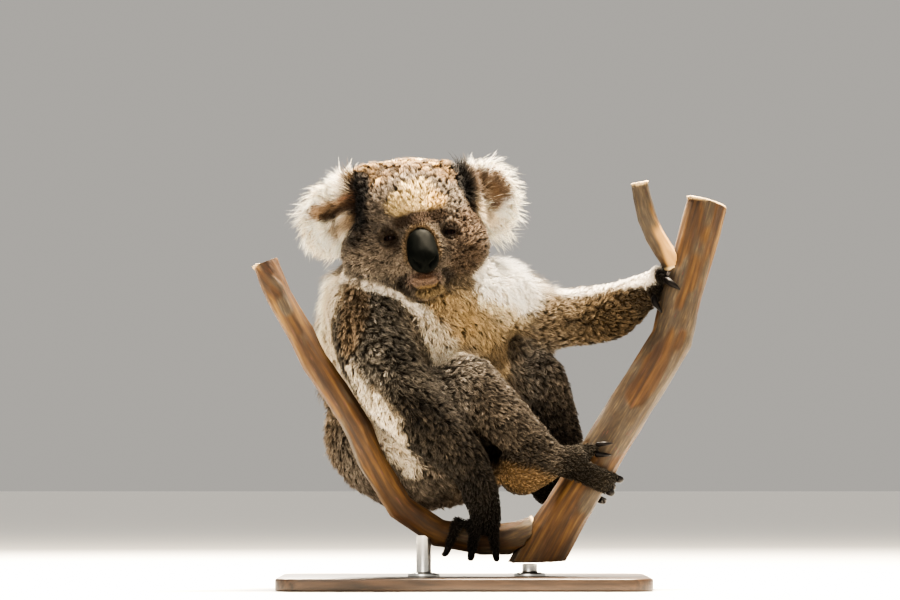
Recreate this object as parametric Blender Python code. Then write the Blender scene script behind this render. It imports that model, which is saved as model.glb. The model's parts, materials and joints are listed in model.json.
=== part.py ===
"""A koala sitting in the fork of a gum tree: a life-size still model on a low display stand.

Metres, +Z up. The animal faces -Y. Right and left are the animal's own, so its right arm is at -X.
The solids reach out to the tips of the coat. The origin is on the floor, below the middle of the model.
"""

import math

import bmesh
import bpy
from mathutils import Euler, Matrix, Vector

for old in list(bpy.data.objects):
    bpy.data.objects.remove(old, do_unlink=True)

# Driving dimensions ----------------------------------------------------------------------------------

GAP = 0.0003  # left between two solids that touch
SWELL = 0.0004  # how far a neighbour is swollen before it carves, so that the flat facets keep the gap

MERGE = 0.0001  # points nearer than this become one
FLAT = math.radians(2.0)  # faces flatter than this to each other become one
CREASE = math.radians(50.0)  # edges sharper than this stay sharp in the shading

HEAD_CENTRE = (-0.041, 0.004, 0.394)
HEAD_PITCH = -8.0  # degrees: the face is lifted a little
HEAD_ROLL = -6.0  # its left side is the higher one
HEAD_YAW = 7.0  # and it looks a little to its left

EYE_SPACING = 0.063
EYE_RADIUS = 0.0075
NOSE_WIDTH = 0.033
NOSE_HEIGHT = 0.049

TRUNK_RADIUS = 0.0245  # of the thicker branch of the fork
LIMB_RADIUS = 0.0165  # of the thinner one

BASE_SIZE = (0.40, 0.31, 0.014)
BASE_CENTRE = (0.015, 0.020)
BASE_CORNER = 0.03  # radius of its corners
BASE_BEVEL = 0.002
ROD_RADIUS = 0.008
FLANGE_RADIUS = 0.017
FLANGE_HEIGHT = 0.003

# The perch: stations of (x, y, z, radius) from the low end of each branch to its sawn top.
TRUNK_STATIONS = (
    (0.086, 0.006, 0.012, TRUNK_RADIUS * 1.22),
    (0.110, 0.006, 0.060, TRUNK_RADIUS * 1.16),
    (0.134, 0.006, 0.099, TRUNK_RADIUS * 1.06),
    (0.174, 0.010, 0.164, TRUNK_RADIUS),
    (0.209, 0.015, 0.219, TRUNK_RADIUS),
    (0.240, 0.022, 0.270, TRUNK_RADIUS),
    (0.251, 0.027, 0.318, TRUNK_RADIUS * 0.98),
    (0.265, 0.031, 0.366, TRUNK_RADIUS),
    (0.281, 0.035, 0.420, TRUNK_RADIUS),
)
LIMB_STATIONS = (
    (0.112, 0.006, 0.064, LIMB_RADIUS * 1.35),
    (0.074, 0.003, 0.055, LIMB_RADIUS * 1.20),
    (0.034, 0.000, 0.053, LIMB_RADIUS * 1.05),
    (-0.012, -0.006, 0.061, LIMB_RADIUS),
    (-0.053, -0.024, 0.089, LIMB_RADIUS),
    (-0.084, -0.046, 0.139, LIMB_RADIUS),
    (-0.097, -0.052, 0.172, LIMB_RADIUS),
    (-0.121, -0.052, 0.210, LIMB_RADIUS),
    (-0.144, -0.048, 0.243, LIMB_RADIUS),
    (-0.160, -0.044, 0.275, LIMB_RADIUS * 0.97),
    (-0.183, -0.042, 0.314, LIMB_RADIUS * 0.95),
    (-0.199, -0.040, 0.352, LIMB_RADIUS * 0.95),
)
TWIG_STATIONS = (
    (0.250, 0.024, 0.345, 0.013),
    (0.231, 0.018, 0.368, 0.0125),
    (0.214, 0.013, 0.400, 0.012),
    (0.205, 0.011, 0.440, 0.0105),
)
FLOOR_CUT = 0.028  # height of the sawn foot of the thick branch
LIMB_SAW = 0.45  # where the thin branch is parted, as a share of its length
LIMB_ROD = 0.31  # where a rod holds it up

# The limbs: stations of (x, y, z, radius) from the body outwards. The third one is the elbow or knee.
RIGHT_ARM = (
    (-0.083, 0.000, 0.302, 0.055),
    (-0.078, -0.034, 0.262, 0.047),
    (-0.054, -0.072, 0.208, 0.041),
    (-0.018, -0.074, 0.172, 0.034),
    (0.018, -0.058, 0.136, 0.026),
    (0.032, -0.042, 0.108, 0.021),
)
LEFT_ARM = (
    (0.047, 0.040, 0.317, 0.041),
    (0.098, 0.070, 0.294, 0.035),
    (0.142, 0.092, 0.297, 0.034),
    (0.178, 0.072, 0.302, 0.032),
    (0.206, 0.048, 0.320, 0.023),
    (0.218, 0.040, 0.326, 0.018),
)
RIGHT_LEG = (
    (-0.052, 0.012, 0.152, 0.050),
    (-0.018, -0.020, 0.194, 0.042),
    (0.017, -0.043, 0.224, 0.031),
    (0.044, -0.043, 0.198, 0.031),
    (0.072, -0.038, 0.170, 0.028),
    (0.102, -0.034, 0.146, 0.021),
)
LEFT_LEG = (
    (0.004, 0.082, 0.160, 0.050),
    (0.050, 0.074, 0.206, 0.040),
    (0.094, 0.066, 0.232, 0.031),
    (0.112, 0.064, 0.186, 0.029),
    (0.128, 0.062, 0.146, 0.023),
    (0.132, 0.060, 0.132, 0.019),
)

# The trunk: balls of (centre, radii), and the planes of (point, direction) that part it.
TRUNK_BALLS = (
    ((-0.030, 0.052, 0.168), (0.110, 0.096, 0.087)),  # rump
    ((-0.036, 0.042, 0.222), (0.108, 0.090, 0.080)),  # belly
    ((-0.040, 0.040, 0.272), (0.109, 0.088, 0.074)),  # chest
    ((-0.044, 0.038, 0.316), (0.098, 0.074, 0.058)),  # shoulders
    ((0.036, 0.030, 0.316), (0.052, 0.050, 0.044)),  # root of the raised left arm
    ((-0.038, 0.042, 0.350), (0.076, 0.066, 0.044)),  # neck
)
RUMP_PLANE = ((-0.03, 0.04, 0.225), (0.0, 0.0, -1.0))
NECK_PLANE = ((-0.03, 0.03, 0.330), (0.0, -0.25, 1.0))

# The head: balls measured from its middle, with the face towards -Y. The paired ones are the left side's.
HEAD_BALLS = (
    ((0.0, 0.014, 0.012), (0.074, 0.068, 0.064)),  # crown and back
    ((0.0, -0.020, 0.006), (0.060, 0.050, 0.058)),  # forehead
    ((-0.037, 0.010, 0.034), (0.040, 0.044, 0.041)),  # right corner of the crown
    ((0.036, 0.010, 0.031), (0.039, 0.044, 0.0395)),  # and the left one, a little lower
    ((0.0, -0.052, -0.040), (0.026, 0.030, 0.035)),  # muzzle
    ((0.0, -0.042, -0.014), (0.022, 0.034, 0.030)),  # bridge of the nose
    ((0.0, -0.036, -0.056), (0.026, 0.034, 0.022)),  # jaw
    ((0.0, -0.040, -0.070), (0.022, 0.020, 0.016)),  # chin
)
PAIRED_HEAD_BALLS = (
    ((0.042, -0.006, -0.028), (0.040, 0.048, 0.042)),  # cheek
    ((0.020, -0.036, -0.040), (0.028, 0.032, 0.030)),  # side of the muzzle
)
SOCKET_RADII = (0.012, 0.012, 0.010)
SOCKET_LEAD = 0.012  # the socket's middle is this far in front of the eye's
EYE_PLACE = (EYE_SPACING / 2, -0.0535, -0.023)
# Balls of (centre, radii, turn in degrees).
NOSE_BALLS = (
    ((-0.0015, -0.077, -0.050), (NOSE_WIDTH * 0.53, 0.013, NOSE_HEIGHT * 0.38), (-6, 0, 0)),
    ((-0.0015, -0.072, -0.036), (NOSE_WIDTH * 0.48, 0.013, NOSE_HEIGHT * 0.40), (-16, 0, 0)),
)
# The right ear hangs a little, so its upper corner is cut off. The left one stands up. Both are given as
# if on the left side.
RIGHT_EAR_BALLS = (
    ((0.090, 0.021, 0.011), (0.044, 0.019, 0.045), (0, 0, -14)),
    ((0.071, 0.020, 0.042), (0.029, 0.018, 0.038), (0, -20, -14)),
)
LEFT_EAR_BALLS = (
    ((0.087, 0.020, 0.025), (0.049, 0.019, 0.048), (0, 8, -14)),
    ((0.097, 0.022, -0.001), (0.039, 0.017, 0.040), (0, -4, -14)),
)
EAR_HOLLOW = ((0.083, -0.012, 0.020), (0.024, 0.020, 0.028), (0, 10, -14))

# Hands and feet. A digit has a number, its root's and its tip's angles round the branch in degrees, their
# places along the branch, its radius, and whether it ends in a claw.
HAND_CLAW = 0.018
FOOT_CLAW = 0.016
DIGIT_ARCH = 0.004  # how high a digit arches over the bark
DIGIT_TAPER = 0.22
DIGIT_SINK = 0.92  # a digit's middle is this share of its radius above the bark
CLAW_LIFT = 0.0006
# A claw's stations: place along it, height over the bark and radius, as shares of its length and its digit.
CLAW_PROFILE = ((-0.25, 0.75, 0.62), (0.3, 1.15, 0.55), (0.7, 0.72, 0.34), (1.0, 0.10, 0.10))
RIGHT_HAND_SHARE = 0.205  # where each one grips, as a share of the length of its branch
LEFT_HAND_SHARE = 0.77
RIGHT_FOOT_SHARE = 0.325
LEFT_FOOT_SHARE = 0.30
RIGHT_PALM = ((0.030, -0.046, 0.112, 0.021), (0.036, -0.034, 0.092, 0.019), (0.040, -0.024, 0.076, 0.016))
LEFT_PALM = ((0.214, 0.044, 0.326, 0.018), (0.221, 0.036, 0.328, 0.017), (0.226, 0.030, 0.328, 0.015))
RIGHT_SOLE = (
    (0.077, -0.032, 0.128, 0.028),
    (0.098, -0.034, 0.133, 0.021),
    (0.118, -0.034, 0.140, 0.015),
    (0.134, -0.031, 0.143, 0.013),
)
LEFT_SOLE = (
    (0.110, 0.062, 0.112, 0.024),
    (0.122, 0.060, 0.122, 0.020),
    (0.134, 0.054, 0.128, 0.016),
    (0.142, 0.048, 0.131, 0.014),
)
RIGHT_FINGERS = (
    (1, (95, 165), (-0.006, -0.014), 0.0075, True),
    (2, (95, 165), (0.014, 0.010), 0.0075, True),
    (3, (48, -30), (-0.018, -0.026), 0.0078, True),
    (4, (44, -36), (0.000, 0.000), 0.0082, True),
    (5, (48, -30), (0.018, 0.026), 0.0075, True),
)
LEFT_FINGERS = (
    (1, (-96, -60), (0.000, -0.020), 0.0078, True),
    (2, (-88, -38), (0.012, 0.002), 0.0080, True),
    (3, (-128, -190), (0.020, 0.026), 0.0078, True),
    (4, (-132, -196), (0.002, 0.004), 0.0080, True),
    (5, (-128, -188), (-0.014, -0.018), 0.0074, True),
)
RIGHT_TOES = (
    (1, (-95, -165), (-0.026, -0.030), 0.0085, False),
    (2, (-62, -14), (0.006, 0.024), 0.0055, True),
    (3, (-58, -4), (-0.002, 0.014), 0.0055, True),
    (4, (-54, 66), (-0.010, 0.004), 0.0080, True),
    (5, (-56, 62), (-0.020, -0.013), 0.0080, True),
)
LEFT_TOES = (
    (1, (-95, -30), (-0.026, -0.032), 0.0085, False),
    (2, (-125, -172), (0.006, 0.024), 0.0055, True),
    (3, (-128, -182), (-0.002, 0.014), 0.0055, True),
    (4, (-132, -236), (-0.010, 0.004), 0.0080, True),
    (5, (-130, -232), (-0.020, -0.013), 0.0080, True),
)

# How many triangles each smooth body is thinned to, before its neighbours are carved out of it.
HEAD_TRIANGLES = 540
EAR_TRIANGLES = 150
NOSE_TRIANGLES = 180
TRUNK_TRIANGLES = 480
RIGHT_LIMB_TRIANGLES = 340
LEFT_ARM_TRIANGLES = 270
LEFT_LEG_TRIANGLES = 290
HAND_TRIANGLES = 240
FOOT_TRIANGLES = 250


# Shapes ----------------------------------------------------------------------------------------------


def smooth_path(stations, steps):
    """Vectors of the same length as the stations, on a smooth curve through all of them."""
    ends = [stations[0], *stations, stations[-1]]
    found = []
    for i in range(1, len(ends) - 2):
        before, here, there, after = (Vector(p) for p in ends[i - 1 : i + 3])
        for step in range(steps):
            t = step / steps
            found.append(
                0.5 * (
                    2 * here
                    + (there - before) * t
                    + (2 * before - 5 * here + 4 * there - after) * t**2
                    + (3 * here - before - 3 * there + after) * t**3
                )
            )
    found.append(Vector(stations[-1]))
    return found


def station_at(stations, share):
    """Centre, direction and radius of a branch, a share of the way along it."""
    path = smooth_path(stations, 8)
    place = min(int(share * (len(path) - 1)), len(path) - 2)
    here = path[place]
    direction = (path[place + 1] - here).xyz.normalized()
    return here.xyz, direction, here[3]


def new_object(name, bm, finish):
    mesh = bpy.data.meshes.new(name)
    bmesh.ops.recalc_face_normals(bm, faces=bm.faces)
    bm.to_mesh(mesh)
    bm.free()
    mesh.materials.append(finish)
    obj = bpy.data.objects.new(name, mesh)
    bpy.context.scene.collection.objects.link(obj)
    return obj


def settle(obj):
    """Gives an object the mesh that its modifiers make."""
    bpy.context.view_layer.update()
    graph = bpy.context.evaluated_depsgraph_get()
    made = bpy.data.meshes.new_from_object(obj.evaluated_get(graph))
    obj.modifiers.clear()
    obj.data = made


def material(name, colour, roughness, metallic=0.0):
    made = bpy.data.materials.new(name)
    made.use_nodes = True
    shader = made.node_tree.nodes["Principled BSDF"]
    shader.inputs["Base Color"].default_value = (*colour, 1.0)
    shader.inputs["Roughness"].default_value = roughness
    shader.inputs["Metallic"].default_value = metallic
    return made


def add_ball(bm, centre, radii, turn=(0.0, 0.0, 0.0), frame=None, fineness=3):
    """Adds an ellipsoid; turn is in degrees, and frame places it as part of something else."""
    angles = Euler([math.radians(a) for a in turn])
    place = Matrix.LocRotScale(Vector(centre), angles, Vector(radii))
    if frame is not None:
        place = frame @ place
    bmesh.ops.create_icosphere(bm, subdivisions=fineness, radius=1.0, matrix=place)


def add_chain(bm, stations, steps=7):
    """Adds balls along a smooth curve, near enough together to melt into one limb."""
    for point in smooth_path(stations, steps):
        add_ball(bm, point.xyz, [point[3]] * 3, fineness=2)


def add_tube(bm, stations, sides, steps, lumps=0.0):
    """Adds a round tube with flat ends. Lumps is the height of its slow swellings, a share of its radius."""
    path = smooth_path(stations, steps)
    across = Vector((0.0, -1.0, 0.0))
    rings = []
    for i, point in enumerate(path):
        along = (path[min(i + 1, len(path) - 1)].xyz - path[max(i - 1, 0)].xyz).normalized()
        across = (across - along * across.dot(along)).normalized()
        beside = along.cross(across)
        ring = []
        for k in range(sides):
            angle = 2 * math.pi * k / sides
            wave = math.sin(2.3 * i / steps + 1.7 * math.sin(angle)) * math.cos(2 * angle + 0.9 * i / steps)
            radius = point[3] * (1 + lumps * wave)
            out = across * math.cos(angle) + beside * math.sin(angle)
            ring.append(bm.verts.new(point.xyz + out * radius))
        rings.append(ring)
    for low, high in zip(rings, rings[1:]):
        for k in range(sides):
            bm.faces.new((low[k], low[(k + 1) % sides], high[(k + 1) % sides], high[k]))
    bm.faces.new(rings[0][::-1])
    bm.faces.new(rings[-1])


def melt(name, bm, finish, voxel, rounds, triangles):
    """Melts all the balls of bm into one smooth body of about so many triangles."""
    obj = new_object(name, bm, finish)
    remesh = obj.modifiers.new("melt", "REMESH")
    remesh.mode = "VOXEL"
    remesh.voxel_size = voxel
    smooth = obj.modifiers.new("smooth", "SMOOTH")
    smooth.factor = 0.5
    smooth.iterations = rounds
    settle(obj)
    thin = obj.modifiers.new("thin", "DECIMATE")
    thin.ratio = triangles / (2 * len(obj.data.polygons))
    settle(obj)
    return obj


def largest_body(bm):
    """Deletes all but the biggest of the separate bodies in bm."""
    unseen = set(bm.verts)
    bodies = []
    while unseen:
        body = set()
        edge_of_search = [unseen.pop()]
        while edge_of_search:
            vert = edge_of_search.pop()
            body.add(vert)
            for edge in vert.link_edges:
                other = edge.other_vert(vert)
                if other in unseen:
                    unseen.discard(other)
                    edge_of_search.append(other)
        bodies.append(body)
    keep = max(bodies, key=len)
    bmesh.ops.delete(bm, geom=[v for v in bm.verts if v not in keep], context="VERTS")


def clean(obj):
    """Leaves one closed body of triangles with no needle-thin edges."""
    bm = bmesh.new()
    bm.from_mesh(obj.data)
    bmesh.ops.remove_doubles(bm, verts=bm.verts, dist=MERGE)
    bmesh.ops.dissolve_degenerate(bm, edges=bm.edges, dist=MERGE)
    bmesh.ops.dissolve_limit(bm, angle_limit=FLAT, verts=bm.verts, edges=bm.edges)
    bmesh.ops.triangulate(bm, faces=bm.faces)
    largest_body(bm)
    bmesh.ops.recalc_face_normals(bm, faces=bm.faces)
    bm.to_mesh(obj.data)
    bm.free()


def boxes_meet(a, b):
    def span(obj, axis):
        values = [v.co[axis] for v in obj.data.vertices]
        return min(values) - GAP, max(values) + GAP

    for axis in range(3):
        low_a, high_a = span(a, axis)
        low_b, high_b = span(b, axis)
        if low_a > high_b or low_b > high_a:
            return False
    return True


def carve(obj, neighbours, swell=SWELL):
    """Takes each neighbour's space, and the gap round it, out of obj."""
    for neighbour in neighbours:
        if not boxes_meet(obj, neighbour):
            continue
        cutter = neighbour.copy()
        cutter.data = neighbour.data.copy()
        bpy.context.scene.collection.objects.link(cutter)
        normals = [v.normal.copy() for v in cutter.data.vertices]
        for vert, normal in zip(cutter.data.vertices, normals):
            vert.co += normal * swell
        cut = obj.modifiers.new("carve", "BOOLEAN")
        cut.object = cutter
        settle(obj)
        bpy.data.objects.remove(cutter, do_unlink=True)
        clean(obj)


def saw(obj, name, point, normal):
    """Saws obj in two at a plane. It keeps the side behind the plane, and the rest becomes a new object."""
    normal = Vector(normal).normalized()
    point = Vector(point)
    ahead = obj.copy()
    ahead.data = obj.data.copy()
    ahead.name = name
    bpy.context.scene.collection.objects.link(ahead)
    for piece, side in ((obj, 1), (ahead, -1)):
        bm = bmesh.new()
        bm.from_mesh(piece.data)
        everything = bm.verts[:] + bm.edges[:] + bm.faces[:]
        bmesh.ops.bisect_plane(
            bm,
            geom=everything,
            dist=1e-7,
            plane_co=point - side * normal * GAP / 2,
            plane_no=side * normal,
            clear_outer=True,
        )
        rim = [e for e in bm.edges if e.is_boundary]
        bmesh.ops.triangle_fill(bm, edges=rim, use_beauty=True)
        bm.to_mesh(piece.data)
        bm.free()
        clean(piece)
    return ahead


# Places round a branch ----------------------------------------------------------------------------------


def grip_frame(stations, share):
    """Matrix of a place on a branch, with its X along the branch and its Y to the front, and the radius."""
    centre, along, radius = station_at(stations, share)
    front = Vector((0.0, -1.0, 0.0))
    front = (front - along * front.dot(along)).normalized()
    beside = along.cross(front)
    turn = Matrix((along, front, beside)).transposed()
    return Matrix.Translation(centre) @ turn.to_4x4(), radius


def on_bark(grip, angle, along, out):
    """A point at an angle round the branch from its front, so far along it and out from its bark."""
    frame, radius = grip
    reach = radius + out
    angle = math.radians(angle)
    return frame @ Vector((along, reach * math.cos(angle), reach * math.sin(angle)))


def digit_stations(grip, angles, alongs, radius):
    """Stations of a finger or toe that lies on the bark from its root to its tip."""
    found = []
    for i in range(4):
        share = i / 3
        angle = angles[0] + (angles[1] - angles[0]) * share
        along = alongs[0] + (alongs[1] - alongs[0]) * share
        arch = DIGIT_ARCH * math.sin(math.pi * share)
        thick = radius * (1.0 - DIGIT_TAPER * share)
        point = on_bark(grip, angle, along, thick * DIGIT_SINK + arch)
        found.append((*point, thick))
    return found


def claw_stations(grip, angles, alongs, radius, length):
    """Stations of the claw that goes on from a digit's tip and hooks down to the bark."""
    turn = angles[1] - angles[0]
    slide = alongs[1] - alongs[0]
    reach = grip[1] + radius
    run = math.hypot(math.radians(turn) * reach, slide)
    found = []
    for share, height, thick in CLAW_PROFILE:
        angle = angles[1] + turn / run * length * share
        along = alongs[1] + slide / run * length * share
        point = on_bark(grip, angle, along, radius * height + CLAW_LIFT)
        found.append((*point, radius * thick))
    return found


# Materials ---------------------------------------------------------------------------------------------

grey_fur = material("grey_fur", (0.155, 0.120, 0.088), 0.9)
pale_fur = material("pale_fur", (0.62, 0.55, 0.45), 0.9)
paw_fur = material("paw_fur", (0.075, 0.066, 0.055), 0.9)
nose_leather = material("nose_leather", (0.016, 0.017, 0.019), 0.45)
claw_horn = material("claw_horn", (0.006, 0.005, 0.006), 0.35)
eye_gloss = material("eye_gloss", (0.030, 0.012, 0.008), 0.08)
gum_bark = material("gum_bark", (0.38, 0.17, 0.06), 0.8)
stand_wood = material("stand_wood", (0.030, 0.020, 0.014), 0.4)
stand_steel = material("stand_steel", (0.55, 0.55, 0.56), 0.3, 1.0)


# Perch ---------------------------------------------------------------------------------------------------


def make_perch():
    """The two branches of the fork and the stub of a twig, sawn off short."""
    bm = bmesh.new()
    add_tube(bm, TRUNK_STATIONS, sides=14, steps=1, lumps=0.035)
    trunk = new_object("perch_trunk", bm, gum_bark)
    offcut = saw(trunk, "offcut", (0.0, 0.0, FLOOR_CUT), (0.0, 0.0, -1.0))
    bpy.data.objects.remove(offcut, do_unlink=True)

    bm = bmesh.new()
    add_tube(bm, LIMB_STATIONS, sides=11, steps=1, lumps=0.03)
    limb = new_object("perch_limb_low", bm, gum_bark)
    carve(limb, [trunk])
    centre, along, _ = station_at(LIMB_STATIONS, LIMB_SAW)
    limb_high = saw(limb, "perch_limb_high", centre, along)

    bm = bmesh.new()
    add_tube(bm, TWIG_STATIONS, sides=8, steps=2, lumps=0.03)
    twig = new_object("perch_twig", bm, gum_bark)
    carve(twig, [trunk])
    return [trunk, limb, limb_high, twig]


def make_stand(perch):
    """A flat base and two short rods, each with a flange on the base, up to the underside of the fork."""
    bm = bmesh.new()
    place = Matrix.LocRotScale(
        Vector((*BASE_CENTRE, BASE_SIZE[2] / 2)), None, Vector(BASE_SIZE)
    )
    bmesh.ops.create_cube(bm, size=1.0, matrix=place)
    upright = [e for e in bm.edges if abs(e.verts[0].co.z - e.verts[1].co.z) > GAP]
    bmesh.ops.bevel(bm, geom=upright, offset=BASE_CORNER, segments=3, affect="EDGES", profile=0.5)
    rim = [e for e in bm.edges if min(v.co.z for v in e.verts) > BASE_SIZE[2] - GAP]
    bmesh.ops.bevel(bm, geom=rim, offset=BASE_BEVEL, segments=1, affect="EDGES", profile=0.5)
    clean(new_object("stand_base", bm, stand_wood))

    held = station_at(LIMB_STATIONS, LIMB_ROD)[0]
    floor = BASE_SIZE[2] + GAP
    for name, x, y, top in (
        ("stand_rod_trunk", *TRUNK_STATIONS[0][:2], FLOOR_CUT - GAP),
        ("stand_rod_limb", held.x, held.y, held.z),
    ):
        bm = bmesh.new()
        rungs = (
            (x, y, floor, FLANGE_RADIUS),
            (x, y, floor + FLANGE_HEIGHT, FLANGE_RADIUS),
            (x, y, floor + FLANGE_HEIGHT * 1.01, ROD_RADIUS),
            (x, y, top, ROD_RADIUS),
        )
        add_tube(bm, rungs, sides=12, steps=1)
        carve(new_object(name, bm, stand_steel), perch)


# Hands and feet ------------------------------------------------------------------------------------------


def make_paw(name, grip, palm, digits, claw_length, triangles):
    """A hand or foot closed on a branch: its palm, its digits, and a claw on each digit that has one."""
    bm = bmesh.new()
    add_chain(bm, palm)
    claws = []
    for number, angles, alongs, radius, clawed in digits:
        add_chain(bm, digit_stations(grip, angles, alongs, radius), steps=6)
        if not clawed:
            continue
        claw = bmesh.new()
        add_tube(claw, claw_stations(grip, angles, alongs, radius, claw_length), sides=6, steps=1)
        claws.append(new_object(f"claw_{name}_{number}", claw, claw_horn))
    paw = melt(name, bm, paw_fur, voxel=0.0022, rounds=4, triangles=triangles)
    return paw, claws


# Head ----------------------------------------------------------------------------------------------------


def head_frame():
    angles = Euler([math.radians(a) for a in (HEAD_PITCH, HEAD_ROLL, HEAD_YAW)])
    return Matrix.LocRotScale(Vector(HEAD_CENTRE), angles, None)


def mirrored(side, centre, turn=(0, 0, 0)):
    """Centre and turn of a ball on the right side of the head (side -1) or its left (side 1)."""
    x, y, z = centre
    return (side * x, y, z), (turn[0], side * turn[1], side * turn[2])


def make_head():
    """The head with its nose pad, eyes and ears."""
    frame = head_frame()
    bm = bmesh.new()
    for centre, radii in HEAD_BALLS:
        add_ball(bm, centre, radii, frame=frame)
    for side in (-1, 1):
        for centre, radii in PAIRED_HEAD_BALLS:
            add_ball(bm, mirrored(side, centre)[0], radii, frame=frame)
    head = melt("head", bm, grey_fur, voxel=0.004, rounds=7, triangles=HEAD_TRIANGLES)

    bm = bmesh.new()
    for centre, radii, turn in NOSE_BALLS:
        add_ball(bm, centre, radii, turn, frame)
    nose = melt("nose", bm, nose_leather, voxel=0.0016, rounds=3, triangles=NOSE_TRIANGLES)

    eyes = []
    for side, name in ((-1, "eye_right"), (1, "eye_left")):
        centre, _ = mirrored(side, EYE_PLACE)
        bm = bmesh.new()
        add_ball(bm, (centre[0], centre[1] - SOCKET_LEAD, centre[2]), SOCKET_RADII, frame=frame, fineness=2)
        socket = new_object("socket", bm, grey_fur)
        carve(head, [socket], swell=0.0)
        bpy.data.objects.remove(socket, do_unlink=True)
        bm = bmesh.new()
        add_ball(bm, centre, [EYE_RADIUS] * 3, frame=frame, fineness=2)
        eyes.append(new_object(name, bm, eye_gloss))
    carve(head, [nose, *eyes])

    ears = []
    for side, name, balls in ((-1, "ear_right", RIGHT_EAR_BALLS), (1, "ear_left", LEFT_EAR_BALLS)):
        bm = bmesh.new()
        for centre, radii, turn in balls:
            centre, turn = mirrored(side, centre, turn)
            add_ball(bm, centre, radii, turn, frame)
        ear = melt(name, bm, pale_fur, voxel=0.0035, rounds=4, triangles=EAR_TRIANGLES)
        bm = bmesh.new()
        centre, turn = mirrored(side, EAR_HOLLOW[0], EAR_HOLLOW[2])
        add_ball(bm, centre, EAR_HOLLOW[1], turn, frame, fineness=2)
        hollow = new_object("hollow", bm, pale_fur)
        carve(ear, [hollow], swell=0.0)
        bpy.data.objects.remove(hollow, do_unlink=True)
        carve(ear, [head])
        ears.append(ear)
    return head, nose, eyes, ears


# Body ----------------------------------------------------------------------------------------------------


def make_trunk():
    """Neck, chest, belly and rump in one, to be sawn across later."""
    bm = bmesh.new()
    for centre, radii in TRUNK_BALLS:
        add_ball(bm, centre, radii)
    return melt("chest", bm, grey_fur, voxel=0.0055, rounds=8, triangles=TRUNK_TRIANGLES)


def make_limb(name, stations, triangles):
    bm = bmesh.new()
    add_chain(bm, stations)
    return melt(name, bm, grey_fur, voxel=0.0045, rounds=5, triangles=triangles)


def middle_joint(stations):
    """The plane that halves the bend at a limb's elbow or knee."""
    before, here, after = (Vector(p[:3]) for p in stations[1:4])
    return here, (here - before).normalized() + (after - here).normalized()


def make_animal(perch):
    head, nose, eyes, ears = make_head()

    right_grip = grip_frame(LIMB_STATIONS, RIGHT_HAND_SHARE)
    left_grip = grip_frame(TRUNK_STATIONS, LEFT_HAND_SHARE)
    right_stand = grip_frame(TRUNK_STATIONS, RIGHT_FOOT_SHARE)
    left_stand = grip_frame(TRUNK_STATIONS, LEFT_FOOT_SHARE)
    paws = []
    claws = []
    for name, grip, palm, digits, claw_length, triangles in (
        ("hand_right", right_grip, RIGHT_PALM, RIGHT_FINGERS, HAND_CLAW, HAND_TRIANGLES),
        ("hand_left", left_grip, LEFT_PALM, LEFT_FINGERS, HAND_CLAW, HAND_TRIANGLES),
        ("foot_right", right_stand, RIGHT_SOLE, RIGHT_TOES, FOOT_CLAW, FOOT_TRIANGLES),
        ("foot_left", left_stand, LEFT_SOLE, LEFT_TOES, FOOT_CLAW, FOOT_TRIANGLES),
    ):
        paw, its_claws = make_paw(name, grip, palm, digits, claw_length, triangles)
        paws.append(paw)
        claws.extend(its_claws)
    for claw in claws:
        carve(claw, perch)
    for paw in paws:
        carve(paw, [*perch, *claws])

    right_arm = make_limb("upper_arm_right", RIGHT_ARM, RIGHT_LIMB_TRIANGLES)
    left_arm = make_limb("upper_arm_left", LEFT_ARM, LEFT_ARM_TRIANGLES)
    right_leg = make_limb("thigh_right", RIGHT_LEG, RIGHT_LIMB_TRIANGLES)
    left_leg = make_limb("thigh_left", LEFT_LEG, LEFT_LEG_TRIANGLES)
    right_forearm = saw(right_arm, "forearm_right", *middle_joint(RIGHT_ARM))
    left_forearm = saw(left_arm, "forearm_left", *middle_joint(LEFT_ARM))
    right_shank = saw(right_leg, "shank_right", *middle_joint(RIGHT_LEG))
    left_shank = saw(left_leg, "shank_left", *middle_joint(LEFT_LEG))
    arms = [right_arm, right_forearm, left_arm, left_forearm]
    legs = [right_leg, right_shank, left_leg, left_shank]

    made = [*perch, head, nose, *eyes, *ears, *paws, *claws]
    for piece in arms:
        carve(piece, made)
    for piece in legs:
        carve(piece, [*made, *arms])
    carve(left_leg, [right_leg])
    chest = make_trunk()
    carve(chest, [*made, *arms, *legs])
    saw(chest, "rump", *RUMP_PLANE)
    saw(chest, "neck", *NECK_PLANE)


# The whole model -----------------------------------------------------------------------------------------


def stand_on_origin():
    """Moves everything so that the origin is below the middle of the whole model, at floor height."""
    bpy.context.view_layer.update()
    corners = [o.matrix_world @ v.co for o in bpy.data.objects for v in o.data.vertices]
    low = Vector([min(c[axis] for c in corners) for axis in range(3)])
    high = Vector([max(c[axis] for c in corners) for axis in range(3)])
    middle = (low + high) / 2
    for obj in bpy.data.objects:
        obj.location -= Vector((middle.x, middle.y, low.z))


branches = make_perch()
make_stand(branches)
make_animal(branches)
stand_on_origin()
for piece in bpy.data.objects:
    piece.data.shade_smooth()
    piece.data.set_sharp_from_angle(angle=CREASE)
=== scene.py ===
"""The looks of the koala in the fork of a gum tree: skin, coat, eyes, nose, claws, bark and stand.

Metres, +Z up. The animal faces -Y, and its right hand and ear are at -X. Sections follow the model as it is
put together: the room, the stand, the cut branches, the claws, the skin, the face, and then the coat.
"""

import json
import math

import bmesh
import bpy
import numpy as np
from mathutils import Euler, Matrix, Vector
from mathutils.bvhtree import BVHTree
from mathutils.kdtree import KDTree

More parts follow.
